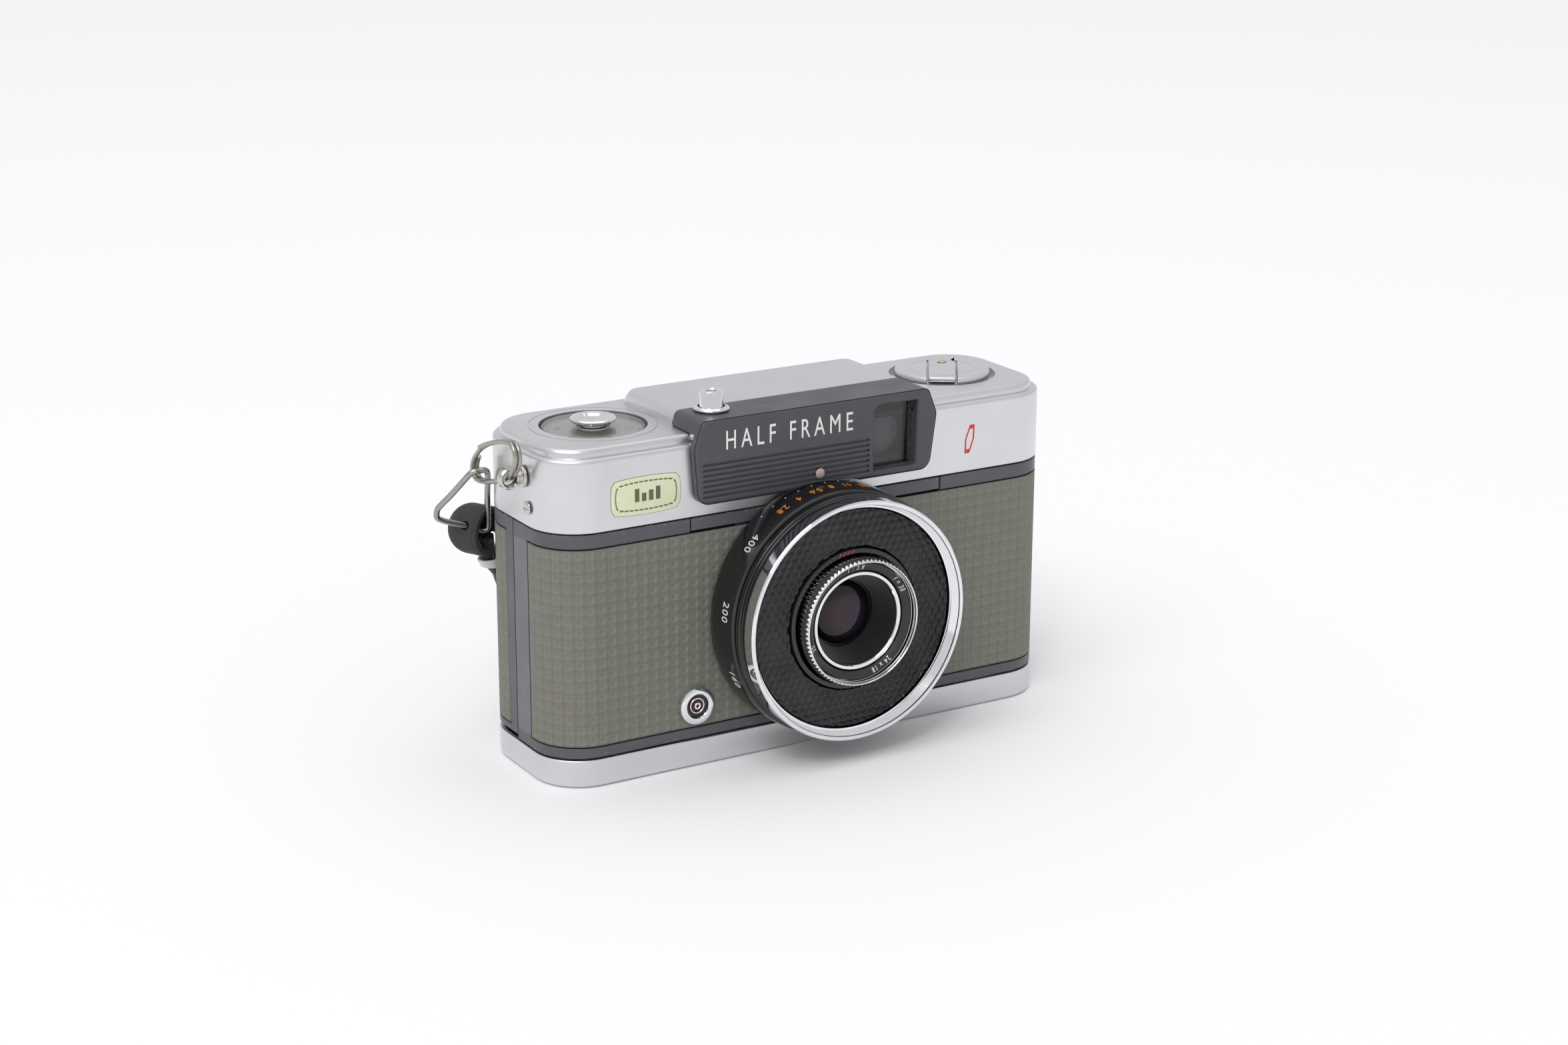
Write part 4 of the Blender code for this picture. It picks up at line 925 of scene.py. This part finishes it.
def release():
    x, y = BUTTON
    collar = lathe("release_collar_visual", [(3.3, 65.75), (3.3, 65.95), (3.2, 66.1), (2.95, 66.22),
        (2.75, 66.5 - 0.15), (2.5, 66.35), (2.5, 62.4), (2.7, 62.4), (2.7, 65.75)], CHROME, (x, y, 0))
    show(collar, "camera", "release_collar", slot="chrome")
    button = lathe("release_button_visual", [(0, 68.1), (0.95, 68.1), (1.0, 68.95), (1.25, 69.24),
        (1.45, 69.3), (1.85, 69.3), (2.08, 69.2), (2.2, 68.98), (2.2, 61.0), (1.2, 61.0), (1.2, 58.6),
        (0, 58.6)], CHROME, (x, y, 0))
    show(button, "release", "release_button", slot="chrome")


def counter():
    x, y = COUNTER
    pane = lathe("counter_window_visual", [(3.0, 62.35), (9.25, 62.35), (9.4, 62.25), (9.4, 61.75),
        (3.0, 61.75)], COUNTER_PANE, (x, y, 0))
    show(pane, "camera", "counter_window", slot="clear_plastic")
    dial = lathe("counter_dial_visual", [(0, 61.3), (8.8, 61.3), (8.9, 61.2), (8.9, 60.7), (0, 60.7)],
        DIAL_GREY, (x, y, 0))
    show(dial, "counter", "counter_dial", slot="pale_plastic")
    marks = bmesh.new()
    for index in range(72):
        angle = 2 * math.pi * index / 72
        out = Vector((math.cos(angle), math.sin(angle), 0))
        aside = Vector((-out.y, out.x, 0)) * 0.07
        inner = 7.7 if index % 6 == 0 else 8.1
        ends = ((inner, -1), (8.5, -1), (8.5, 1), (inner, 1))
        bar(marks, [Vector((x, y, 61.28)) + out * r + aside * s for r, s in ends], (0, 0, 0.05))
    show(finish("counter_marks", marks, DARK_INK, 30), "counter")
    for index in range(6):
        angle = math.radians(-90 + 60 * index)
        figures = lettering("figures", str(12 * index), 1.7, 1.0, 0.05)
        out = Vector((math.cos(angle), math.sin(angle), 0))
        along = Vector((-out.y, out.x, 0))
        bend(figures, lambda px, py, pz: Vector((x, y, 61.31 + pz)) + out * (6.6 - py) + along * px)
        show(finish(f"counter_figure_{index}", figures, DARK_INK, 30), "counter")
    facets = lambda index, step: -0.13 if index in (3, 4, 5) and (step // 4) % 3 == 0 else 0.0
    knob = lathe("counter_knob_visual", [(0, 63.42), (1.5, 63.45), (2.1, 63.6), (2.5, 63.95), (3.0, 64.1),
        (3.55, 64.1), (3.95, 63.98), (4.2, 63.75), (4.2, 63.45), (3.95, 63.2), (3.3, 62.98), (2.4, 62.8),
        (2.4, 61.6), (0, 61.6)], CHROME, (x, y, 0), steps=96, wave=facets)
    show(knob, "counter", "counter_knob", slot="chrome")


def advance():
    x, y = TAKEUP
    teeth = 52
    rows = []
    for inset, z in ((0.5, 50.4), (0.05, 50.75), (0, 51.0), (0, 53.8), (0.05, 54.05), (0.5, 54.4)):
        row = []
        for index in range(teeth * 6):
            angle = 2 * math.pi * index / (teeth * 6)
            radius = 14.2 - inset - (0, 0.05, 0.3, 0.55, 0.3, 0.05)[index % 6]
            row.append((x + radius * math.cos(angle), y + radius * math.sin(angle), z))
        rows.append(row)
    wheel = loft("advance_wheel_visual", rows, MATT, smooth=45)
    combine(wheel, [rod("bore", (x, y, 49), (x, y, 56), 1.9)], smooth=45)
    show(wheel, "film_advance", "advance_wheel", slot="black_enamel")
    spool = lathe("take_up_spool_visual", [(0, 50.0), (1.5, 50.0), (1.5, 44.9), (9.8, 44.9), (10.0, 44.7),
        (10.0, 44.3), (9.8, 44.1), (4.7, 44.1), (4.5, 43.9), (4.5, 10.8), (4.7, 10.6), (9.8, 10.6),
        (10.0, 10.4), (10.0, 10.0), (9.8, 9.8), (0, 9.8)], MATT, (x, y, 0), steps=72)
    show(spool, "film_advance", "take_up_spool", slot="black_enamel")
    sprocket = lathe("film_sprocket_visual", [(0, 48.6), (1.2, 48.6), (1.2, 44.9), (3.75, 44.9),
        (3.9, 44.7), (3.9, 43.2), (3.75, 43.0), (3.3, 43.0), (3.3, 12.4), (3.75, 12.4), (3.9, 12.2),
        (3.9, 10.6), (3.75, 10.4), (0, 10.4)], STEEL, (*SPROCKET, 0), steps=48, wave=lambda index,
        step: -0.35 if index in (4, 5, 10, 11) and step % 6 > 2 else 0.0)
    show(sprocket, "sprocket", "film_sprocket", slot="plain_steel")
    undo = lathe("rewind_release_button_visual", [(0, 16.45), (1.2, 16.5), (1.75, 16.6), (2.02, 16.45),
        (2.1, 16.2), (2.1, 12.6), (0, 12.6)], CHROME, (UNDO[0], 0, UNDO[1]), (0, 1, 0), 64)
    show(undo, "undo", "rewind_release_button", slot="chrome")


def along_crank(distance, z):
    return Vector((REWIND[0], REWIND[1], z)) + CRANK_WAY * distance


def crank_block(name, start, end, half, low, high, material=None, radius=0.35, edge=0.12):
    side = Vector((-CRANK_WAY.y, CRANK_WAY.x, 0))
    rows = []
    for inset, z in ((edge, low), (0, low + edge), (0, high - edge), (edge, high)):
        row = box_outline(start, end, -half, half, radius, inset)
        rows.append([along_crank(p.x, z) + side * p.y for p in row])
    return loft(name, rows, material)


def rewind():
    knob = lathe("rewind_knob_visual", [(0, 63.65), (8.5, 63.65), (8.75, 63.62), (8.97, 63.5), (9.1, 63.25),
        (9.1, 62.05), (8.97, 61.8), (8.75, 61.7), (0, 61.7)], SATIN, (*REWIND, 0), steps=160)
    combine(knob, [crank_block("seat", -12, 12, 2.95, 62.4, 70, None, 0.1),
        rod("pocket", along_crank(CRANK_TIP, 61), along_crank(CRANK_TIP, 64), 2.1, None, 48)])
    combine(knob, [lathe("arc", ring_profile(6.1, 5.98, 64.0, 63.59, 0.01), None, (*REWIND, 0), steps=120)])
    show(knob, "rewind", "rewind_knob", slot="satin_silver")
    crank = crank_block("rewind_crank_visual", CRANK_HINGE, 8.3, 2.6, 62.75, 63.65, SATIN)
    cutters = [rod("hole", along_crank(CRANK_TIP, 60), along_crank(CRANK_TIP, 66), 0.9, None, 32)]
    combine(crank, cutters)
    soften(crank, 0.18)
    # two fine lines across the crank
    for distance in (-6.4, 1.6):
        combine(crank, [crank_block("line", distance - 0.08, distance + 0.08, 3.2, 63.5, 66, None, 0.02,
            0.005)])
    show(crank, "crank", "rewind_crank", slot="satin_silver")
    tip = lathe("crank_tip_visual", [(0, 63.92), (0.35, 63.9), (0.62, 63.83), (0.78, 63.72), (0.55, 63.68),
        (0.55, 62.4), (1.5, 62.4), (1.7, 62.2), (1.7, 62.0), (1.5, 61.8), (0, 61.8)], BRASS,
        along_crank(CRANK_TIP, 0), steps=48)
    show(tip, "crank_end", "crank_tip", slot="brass")


def sync_socket():
    at = (SOCKET[0], FRONT, SOCKET[1])
    ring = lathe("sync_socket_ring_visual", [(2.25, 1.05), (2.4, 1.18), (2.7, 1.2), (3.2, 1.12),
        (3.45, 0.95), (3.55, 0.7), (3.55, -0.5), (2.2, -0.5), (2.2, 1.0)], CHROME, at, (0, -1, 0), 96)
    show(ring, "camera", "sync_socket_ring", slot="chrome")
    insulator = lathe("sync_insulator_visual", [(0, 0.1), (0.3, 0.1), (0.32, 0.93), (0.42, 0.95),
        (0.6, 0.93), (0.62, 0.3), (1.2, 0.3), (1.25, 0.68), (1.42, 0.7), (1.47, 0.3), (1.85, 0.3),
        (1.85, -1.6), (0, -1.6)], BROWN, at, (0, -1, 0), 64)
    show(insulator, "camera", "sync_insulator", slot="brown_insulator")
    for name, outer, inner, high in (("sync_pin", 0.66, 0.3, 0.97), ("sync_contact_ring", 1.5, 1.24, 0.78)):
        piece = lathe(name, ring_profile(outer, inner, high, 0.32, 0.05), DULL_CHROME, at, (0, -1, 0), 48)
        show(piece, "camera", slot="chrome")
    # a matt black ring at the bottom of the socket's well: painted shade between the chrome ring and the
    # insulator
    dark = lathe("sync_well_painted_shade", ring_profile(2.18, 1.55, 0.5, 0.32, 0.02), MATT, at, (0, -1, 0), 48)
    show(dark, "camera", slot="black_enamel")


# --- lens -----------------------------------------------------------------------------------------

def round_text(name, words, size, radius, depth, angle, material, body, spacing=1.1, squeeze=0.9):
    """Figures on a ring's outer wall, round the lens axis, centred at an angle in degrees from +X.
    Their tops point to the front."""
    figures = lettering(name, words, size, spacing, 0.05, squeeze)
    middle = math.radians(angle)

    def rule(x, y, z):
        turn = middle + x / radius
        r = radius + 0.015 + z
        return LENS_X + r * math.cos(turn), FRONT - depth - y, LENS_Z + r * math.sin(turn)

    bend(figures, rule)
    return show(finish(name, figures, material, 30), body)


def face_text(name, words, size, radius, depth, angle, material, body, slope=0.0, spacing=1.3,
        squeeze=0.85):
    """Figures on a ring's front face, with their feet towards the lens axis."""
    figures = lettering(name, words, size, spacing, 0.04, squeeze)
    middle = math.radians(angle)

    def rule(x, y, z):
        r = radius + y
        turn = middle - x / radius
        return LENS_X + r * math.cos(turn), FRONT - depth - slope * y - z - 0.01, LENS_Z + r * math.sin(turn)

    bend(figures, rule)
    return show(finish(name, figures, material, 30), body)


def shutter_unit():
    housing = lens("shutter_housing_visual", [(20.3, 10.4), (20.4, 10.3), (20.4, 0.4), (7.0, 0.4),
        (7.0, 1.4), (19.4, 1.4), (19.4, 10.3), (19.5, 10.4)], BLACK, 96)
    show(housing, "camera", "shutter_housing", slot="black_enamel")
    speed = lens("speed_ring_visual", [(22.3, 8.4), (22.75, 8.36), (23.05, 8.22), (23.2, 7.95), (23.3, 2.5),
        (23.3, 1.0), (23.2, 0.7), (22.9, 0.6), (20.75, 0.6), (20.75, 8.4)], BLACK_RING, 256)
    show(speed, "speed", "speed_ring", slot="black_enamel")
    step = lens("step_ring_visual", [(22.1, 11.3), (22.2, 11.2), (22.2, 10.25), (22.3, 10.1), (22.65, 10.0),
        (22.75, 9.85), (22.75, 8.85), (22.65, 8.75), (20.75, 8.75), (20.75, 11.3)], BLACK_RING, 160)
    show(step, "camera", "step_ring", slot="black_enamel")
    front, turns = 14.45, 8
    thread = []
    for turn in range(turns):
        depth, radius = 12.45 + 0.2 * turn, 21.3 + 0.4 * turn / turns
        thread += [(radius, depth), (radius + 0.14, depth + 0.1)]
    bezel = lens("bezel_ring_visual", [(22.2, front), (22.4, front - 0.04), (22.6, front - 0.28),
        (22.6, 11.75), (22.5, 11.65), (20.85, 11.65), (20.85, 12.3), (21.2, 12.35)] + thread + [(21.7,
        front - 0.35), (21.78, front - 0.12), (21.95, front)], CHROME, 192)
    show(bezel, "camera", "bezel_ring", slot="chrome")
    trim = lens("inner_trim_ring_visual", [(13.05, 12.4), (13.2, 12.33), (13.25, 12.15), (13.25, 8.0),
        (12.35, 8.0), (12.35, 12.3), (12.45, 12.4)], BLACK, 128)
    show(trim, "camera", "inner_trim_ring", slot="black_enamel")
    for index, angle in enumerate((104.0, 100.0, 96.0, 92.0)):
        face_text(f"distance_mark_{index}", "/", 1.05, 12.74, 12.39, angle, RED_INK, "camera", squeeze=2.4)
    cell = lens("exposure_cell_visual", ring_profile(19.0, 14.4, 10.5, 9.4), MATT, 64)
    show(cell, "camera", "exposure_cell", slot="exposure_cell")


def cell_window():
    """The lens plate over the exposure cell: a close pattern of small round lenses."""
    pitch = 1.6
    around, outward = 540, 44
    low_r, high_r = 13.6, 20.5

    def bulge(x, z):
        best = 9.0
        row = round(z / (pitch * 0.866))
        for j in (row - 1, row, row + 1):
            shift = 0.5 * pitch if j % 2 else 0.0
            i = round((x - shift) / pitch)
            for k in (i - 1, i, i + 1):
                best = min(best, math.hypot(x - (k * pitch + shift), z - j * pitch * 0.866))
        share = min(best / (pitch * 0.577), 1.0)
        return 0.38 * (1 - share * share)

    bm = bmesh.new()
    rows = []
    for i in range(around):
        angle = 2 * math.pi * i / around
        row = []
        for j in range(outward + 1):
            radius = low_r + (high_r - low_r) * j / outward
            x, z = radius * math.cos(angle), radius * math.sin(angle)
            row.append(bm.verts.new(Vector((LENS_X + x, FRONT - 11.72 - bulge(x, z), LENS_Z + z)) * MM))
        for radius in (high_r, low_r):
            row.append(bm.verts.new(Vector((LENS_X + radius * math.cos(angle), FRONT - 11.2,
                LENS_Z + radius * math.sin(angle))) * MM))
        rows.append(row)
    for low, high in zip(rows, rows[1:] + rows[:1]):
        for j in range(len(low)):
            bm.faces.new((low[j - 1], low[j], high[j], high[j - 1]))
    plate = finish("cell_window_visual", bm, CELL, 70)
    show(plate, "camera", "cell_window", slot="coated_glass")


def optics():
    teeth = 84
    knurl = lambda index, step: (0, -0.05, -0.22, -0.3, -0.22, -0.05)[step % 6] if index in (2, 3) else 0.0
    ring = lens("focus_ring_visual", [(11.45, 15.65), (11.62, 15.6), (12.04, 15.1), (12.04, 13.2),
        (11.85, 13.0), (11.85, 8.4), (11.0, 8.4), (11.0, 12.7), (11.12, 12.8), (11.12, 13.5), (11.2, 13.52),
        (11.2, 14.2), (11.26, 14.22), (11.26, 14.9), (11.32, 14.92), (11.32, 15.5)], CHROME, teeth * 6,
        knurl, 50)
    show(ring, "focus", "focus_ring", slot="chrome")
    name = lens("name_ring_visual", [(10.9, 14.45), (10.95, 14.35), (10.95, 13.65), (9.55, 12.9),
        (9.55, 13.7), (9.6, 13.78)], MATT, 128)
    show(name, "front_cell", "name_ring", slot="black_enamel")
    slope = 0.5
    for index, (words, angle) in enumerate((("1 : 2.8", 95), ("f = 30", 34), ("24 x 18", -62),
            ("35", 200))):
        face_text(f"name_ring_figures_{index}", words, 1.25, 10.25, 14.12, angle, WHITE_INK, "front_cell",
            slope)
    wall = [(9.1, 13.6), (9.22, 13.52), (9.25, 13.3), (9.25, 7.0), (4.6, 7.0), (4.6, 7.6), (6.4, 7.6),
        (6.4, 8.4)]
    ribs = 15
    for index in range(ribs):
        depth, radius = 8.5 + 4.5 * index / ribs, 6.42 + 1.85 * index / ribs
        wall += [(radius, depth), (radius + 0.17, depth + 0.02), (radius + 0.17, depth + 0.2)]
    wall += [(8.35, 13.1), (8.4, 13.3)]
    cone = lens("front_lens_cell_visual", wall, MATT, 160)
    show(cone, "front_cell", "front_lens_cell", slot="black_enamel")
    lip = lens("front_cell_ring", [(8.5, 13.5), (8.62, 13.66), (8.9, 13.72), (9.15, 13.66), (9.27, 13.5),
        (9.24, 13.2), (8.55, 13.1)], CHROME, 128)
    show(lip, "front_cell", slot="chrome")
    dome = [(6.0 * math.sin(math.radians(angle)), 7.95 + 1.5 * math.cos(math.radians(angle)))
        for angle in range(0, 91, 6)]
    glass = lens("front_element_visual", dome + [(0, 7.95)], ELEMENT, 96)
    show(glass, "front_cell", "front_element", slot="coated_glass")


def ring_figures():
    for index, (words, angle) in enumerate((("400", 139), ("200", 172), ("160", 205), ("100", 236),
            ("50", 262), ("25", 284), ("12", 304))):
        round_text(f"speed_figures_{index}", words, 2.7, 23.3, 5.6, angle, WHITE_INK, "speed", 1.15, 0.85)
    for index, (words, angle) in enumerate((("2.8", 118), ("4", 109), ("5.6", 100), ("8", 92), ("11", 84),
            ("22", 75))):
        round_text(f"flash_figures_{index}", words, 2.3, 23.3, 5.4, angle, ORANGE_INK, "speed", 1.0, 0.85)
    for index in range(11):
        angle = math.radians(126 - index * 7)
        dot = rod(f"speed_mark_{index}", (0, 0, 0), (0, 0, 0.05), 0.14, WHITE_INK, 12)
        turn = Matrix.Rotation(math.pi / 2 - angle, 4, "Y")
        spot = Vector((LENS_X + 23.28 * math.cos(angle), FRONT - 2.6,
            LENS_Z + 23.28 * math.sin(angle))) * MM
        dot.data.transform(Matrix.Translation(spot) @ turn)
        show(dot, "speed")


# --- labels on the cover --------------------------------------------------------------------------

def barrel(inset, middle=(-35.2, 53.25), half_w=6.95, half_h=3.45, bow=0.35, corner=0.5):
    """A barrel-shaped outline in x and z, with sides that bow out."""
    x0, z0 = middle
    w, h = half_w - inset, half_h - inset
    points = []
    for side in range(4):
        for step in range(12):
            t = -1 + 2 * (step + 0.5) / 12
            swell = (1 - t * t) * bow
            edge = 1 - 0.12 * corner * max(0.0, abs(t) - 0.8) / 0.2
            if side == 0:
                points.append((x0 + w * t * 0.97, z0 - (h - bow + swell) * edge))
            elif side == 1:
                points.append((x0 + (w - bow + swell) * edge, z0 + h * t * 0.86))
            elif side == 2:
                points.append((x0 - w * t * 0.97, z0 + (h - bow + swell) * edge))
            else:
                points.append((x0 - (w - bow + swell) * edge, z0 - h * t * 0.86))
    return points


def labels():
    film = loft("cover_label", [upright(barrel(0.0), FRONT - 0.01), upright(barrel(0.0), FRONT - 0.06),
        upright(barrel(0.12), FRONT - 0.1)], CREAM)
    show(film, "camera")
    border = loft("cover_label_edge", [upright(barrel(-0.07), FRONT - 0.005),
        upright(barrel(-0.07), FRONT - 0.045)], LABEL_LINE)
    show(border, "camera")
    dashes = bmesh.new()

    def dash(points):
        bar(dashes, upright(points, FRONT - 0.105), (0, -0.02, 0))

    outer, inner = barrel(0.75), barrel(1.0)
    for index in range(len(outer)):
        nxt = (index + 1) % len(outer)
        if index % 12 == 11:
            continue
        a, b, c, d = (Vector(p) for p in (outer[index], outer[nxt], inner[nxt], inner[index]))
        dash([a.lerp(b, 0.12), a.lerp(b, 0.88), d.lerp(c, 0.88), d.lerp(c, 0.12)])
    for x, half_w, low, high in ((-37.0, 0.45, 52.2, 54.6), (-35.6, 0.45, 52.2, 53.7),
            (-34.2, 0.45, 52.2, 54.1), (-32.8, 0.45, 52.2, 54.6)):
        dash([(x - half_w, low), (x + half_w, low), (x + half_w, high), (x - half_w, high)])
    show(finish("cover_label_marks", dashes, LABEL_LINE, 30), "camera")
    # a plain red outline on the right of the cover
    corners = ((0.25, -1), (0.8, 0.0), (0.6, 1), (-0.25, 1), (-0.8, 0.0), (-0.6, -1))
    outer_line, inner_line = ([(33.7 + (1.25 * x + 0.12 * 2.7 * z) * scale, 53.9 + 2.7 * z * scale)
        for x, z in corners] for scale in (1.0, 0.72))
    mark = loft("cover_mark", [upright(outer_line, FRONT), upright(outer_line, FRONT - 0.05),
        upright(inner_line, FRONT - 0.05), upright(inner_line, FRONT)], RED_INK, True)
    show(mark, "camera")


# --- strap fittings -------------------------------------------------------------------------------

RING_LINE = ((-8.7, 61.6), (-7.9, 59.2), (-4.65, 56.6), (0.5, 54.8), (5.5, 53.5), (8.8, 53.3), (10.0, 55.0),
    (8.9, 57.2), (5.5, 59.8), (0.5, 61.9), (-4.2, 63.2), (-7.4, 63.4))
LINK_LINE = ((-56.4, 7.45, 55.0), (-57.8, 7.8, 54.7), (-58.7, 8.9, 53.2), (-60.0, 11.9, 49.9),
    (-61.5, 14.6, 46.8), (-61.6, 15.2, 45.3), (-60.3, 15.4, 44.2), (-56.0, 15.4, 42.6), (-52.7, 15.3, 41.1),
    (-51.6, 15.1, 41.4), (-51.7, 14.4, 43.2), (-53.1, 11.4, 48.8), (-54.1, 8.9, 53.1), (-54.9, 7.8, 54.7))
STRAP_LINE = ((-51.0, 16.8, 38.9), (-51.0, 16.85, 37.2), (-50.7, 17.0, 35.4), (-49.9, 17.3, 33.7),
    (-48.6, 17.8, 32.2), (-46.8, 18.4, 30.5), (-44.5, 19.0, 28.0), (-41.0, 19.7, 24.0), (-37.0, 20.3, 19.0),
    (-32.5, 20.9, 13.5), (-27.5, 21.5, 8.5), (-21.5, 22.1, 4.6), (-14.0, 22.7, 2.2), (-6.0, 23.1, 1.3),
    (2.0, 23.4, 1.2), (16.0, 23.6, 1.2), (30.0, 24.0, 1.2), (39.5, 26.0, 1.2), (44.5, 31.0, 1.2),
    (41.0, 36.8, 1.2), (30.0, 40.0, 1.2), (14.0, 40.8, 1.2), (-1.0, 40.2, 1.2), (-13.5, 38.2, 1.6),
    (-23.5, 34.8, 4.0), (-31.0, 31.4, 8.5), (-36.6, 28.4, 14.0), (-40.6, 26.0, 19.5), (-43.8, 23.8, 24.5),
    (-46.0, 21.9, 28.9), (-47.4, 20.7, 31.8), (-48.6, 19.7, 34.2), (-49.4, 19.15, 36.4),
    (-49.7, 19.0, 38.9))
STRAP_R = 1.1


def at_height(line, height):
    """The point where a line that starts by falling first reaches a height."""
    for high, low in zip(line, line[1:]):
        if low[2] <= height:
            return Vector(high).lerp(Vector(low), (high[2] - height) / (high[2] - low[2]))
    raise ValueError("the line never falls to this height")


def oval(first, second, side, z):
    """A flat ring of points round two cords that run side by side."""
    way = (second.xy - first.xy).normalized()
    across = Vector((way.y, -way.x))
    middle, half = (first.xy + second.xy) / 2, (second.xy - first.xy).length / 2
    points = rounded([(-half - side, -side), (half + side, -side), (half + side, side),
        (-half - side, side)], side * 0.9, 0, 10)
    return [(*(middle + way * p.x + across * p.y), z) for p in points]


def strap_fittings():
    lug = lathe("strap_lug_visual", [(0, 55.0), (1.4, 54.9), (1.4, 54.45), (1.5, 54.37), (1.8, 54.34),
        (1.93, 54.27), (2.0, 54.1), (2.0, 53.8), (0, 53.8)], STEEL, (0, EYE.y, EYE.z), (-1, 0, 0), 64)
    post = rod("post", (-55.4, EYE.y, EYE.z), (-54.2, EYE.y, EYE.z), 1.35, None, 40)
    eye = lathe("eye", ring_profile(2.0, 1.3, 0.8, -0.8, 0.3), None, EYE, (0, 1, 0), 64)
    combine(lug, [post, eye], "UNION")
    combine(lug, [lathe("hole", [(0, 1.2), (1.5, 1.2), (1.3, 0.6), (1.3, -0.6), (1.5, -1.2), (0, -1.2)],
        None, EYE, (0, 1, 0), 48)])
    show(lug, "camera", "strap_lug", slot="plain_steel")
    once = smooth_line([(0.0, y, z) for y, z in RING_LINE], 0.55, closed=True)
    start = 2 * len(once) // 3
    line = []
    for index in range(2 * len(once) - 8):
        point = once[(start + index) % len(once)]
        line.append((EYE.x + (index / len(once) - 1.0) * 0.9, point.y, point.z))
    show(pipe("strap_ring_visual", line, 0.42, WIRE_STEEL), "ring", "strap_ring", slot="plain_steel")
    link_line = [Vector((max(p.x, -61.55), p.y, p.z)) for p in smooth_line(LINK_LINE, 0.5, closed=True)]
    show(pipe("strap_link_visual", link_line, 0.55, WIRE_STEEL, True, 20), "strap", "strap_link",
        slot="plain_steel")
    radius, length = 4.7, 8.6
    dome = [(0, length)]
    for angle in range(8, 91, 8):
        turn = math.radians(angle)
        dome.append((radius * math.sin(turn), length - 4.2 + 4.2 * math.cos(turn)))
    dome += [(radius, 0.95), (radius - 0.04, 0.9), (radius - 0.1, 0.8), (radius - 0.02, 0.7),
        (radius, 0.55), (radius - 0.12, 0.15), (radius - 0.35, 0), (radius - 1.0, 0), (radius - 1.2, 0.12),
        (radius - 1.3, 0.5), (radius - 1.3, length - 4.2), (2.2, length - 1.6), (0, length - 1.3)]
    boot = lathe("strap_boot_visual", dome, RUBBER, BOOT_MOUTH, BOOT_WAY, 72)
    ends = (Vector(STRAP_LINE[0]), Vector(STRAP_LINE[-1]))
    slot = loft("slot", [oval(*ends, STRAP_R + 0.4, z) for z in (33.0, 39.6)])
    room = pipe("room", link_line, 0.85, None, True, 12)
    combine(boot, [slot, room])
    show(boot, "strap", "strap_boot", slot="black_rubber")
    strap_line = smooth_line(STRAP_LINE, 1.6)
    strap = pipe("wrist_strap_visual", strap_line, STRAP_R - 0.01, BRAID, False, 16)
    show(strap, "strap", "wrist_strap", slot="strap_cord")
    rows = []
    for extra, z in ((0.85, 33.4), (1.0, 33.55), (1.0, 34.95), (0.85, 35.1), (0.45, 35.1), (0.45, 33.4)):
        ends = at_height(STRAP_LINE, z), at_height(STRAP_LINE[::-1], z)
        rows.append(oval(*ends, STRAP_R + extra, z))
    keeper = loft("strap_keeper_visual", rows, PALE, True)
    show(keeper, "strap", "strap_keeper", slot="pale_plastic")
    length = sum((b - a).length for a, b in zip(strap_line, strap_line[1:]))


def carried_over():
    """CAD nodes that stay as they are, inside or underneath, with better materials."""
    looks = {"pressure_plate": STEEL, "body_casting": CASTING, "viewfinder_tube": MATT,
        "rewind_shaft": STEEL, "rewind_sleeve": BRASS, "shutter_blade_left": STEEL,
        "shutter_blade_right": STEEL, "aperture_blade_left": STEEL, "aperture_blade_right": STEEL,
        "rear_lens_cell": BRASS, "rear_element": ELEMENT}
    for name, look in looks.items():
        node = NODES[name]
        node.data.materials.clear()
        node.data.materials.append(look)


# --- stage ----------------------------------------------------------------------------------------

def stage():
    bm = bmesh.new()
    reach = 12.0
    corners = ((-1, -1), (1, -1), (1, 1), (-1, 1))
    bm.faces.new([bm.verts.new((x * reach, y * reach, 0.0)) for x, y in corners])
    floor = finish("floor", bm)
    g = Graph("floor_paper", (0.9, 0.902, 0.905), 0.75, 0.0, Specular_IOR_Level=0.2)
    g.bump(g.noise(0.8, 2.0), 0.01, 0.2)
    floor.data.materials.append(g.material)


def lamp(name, kind, place, energy, size):
    """A lamp that points at the camera body. size is an area's two sides, or a sun's spread in degrees."""
    data = bpy.data.lights.new(name, kind)
    data.energy = energy
    if kind == "SUN":
        data.angle = math.radians(size)
    else:
        data.shape = "RECTANGLE"
        data.size, data.size_y = size
    made = bpy.data.objects.new(name, data)
    made.location = place
    made.rotation_mode = "QUATERNION"
    made.rotation_quaternion = (Vector((0, 0, 0.03)) - Vector(place)).to_track_quat("-Z", "Y")
    scene.collection.objects.link(made)


def lighting():
    world = bpy.data.worlds.new("studio")
    world.use_nodes = True
    world.node_tree.nodes["Background"].inputs["Color"].default_value = (0.975, 0.985, 1.0, 1.0)
    world.node_tree.nodes["Background"].inputs["Strength"].default_value = 0.72
    scene.world = world
    lamp("key", "SUN", (-0.75, -0.45, 1.2), 0.98, 45)
    lamp("top", "AREA", (0.1, 0.3, 1.3), 2.0, (1.2, 0.8))
    lamp("glint", "AREA", (-0.55, -0.65, 0.85), 1.4, (0.2, 0.2))
    scene.view_settings.view_transform = "Standard"
    scene.view_settings.look = "None"


front_shell()
front_plate()
back_cover()
skins()
base_cover()
top_cover()
front_fascia()
finder()
screws()
release()
counter()
advance()
rewind()
sync_socket()
shutter_unit()
cell_window()
optics()
ring_figures()
labels()
strap_fittings()
carried_over()
stage()
lighting()
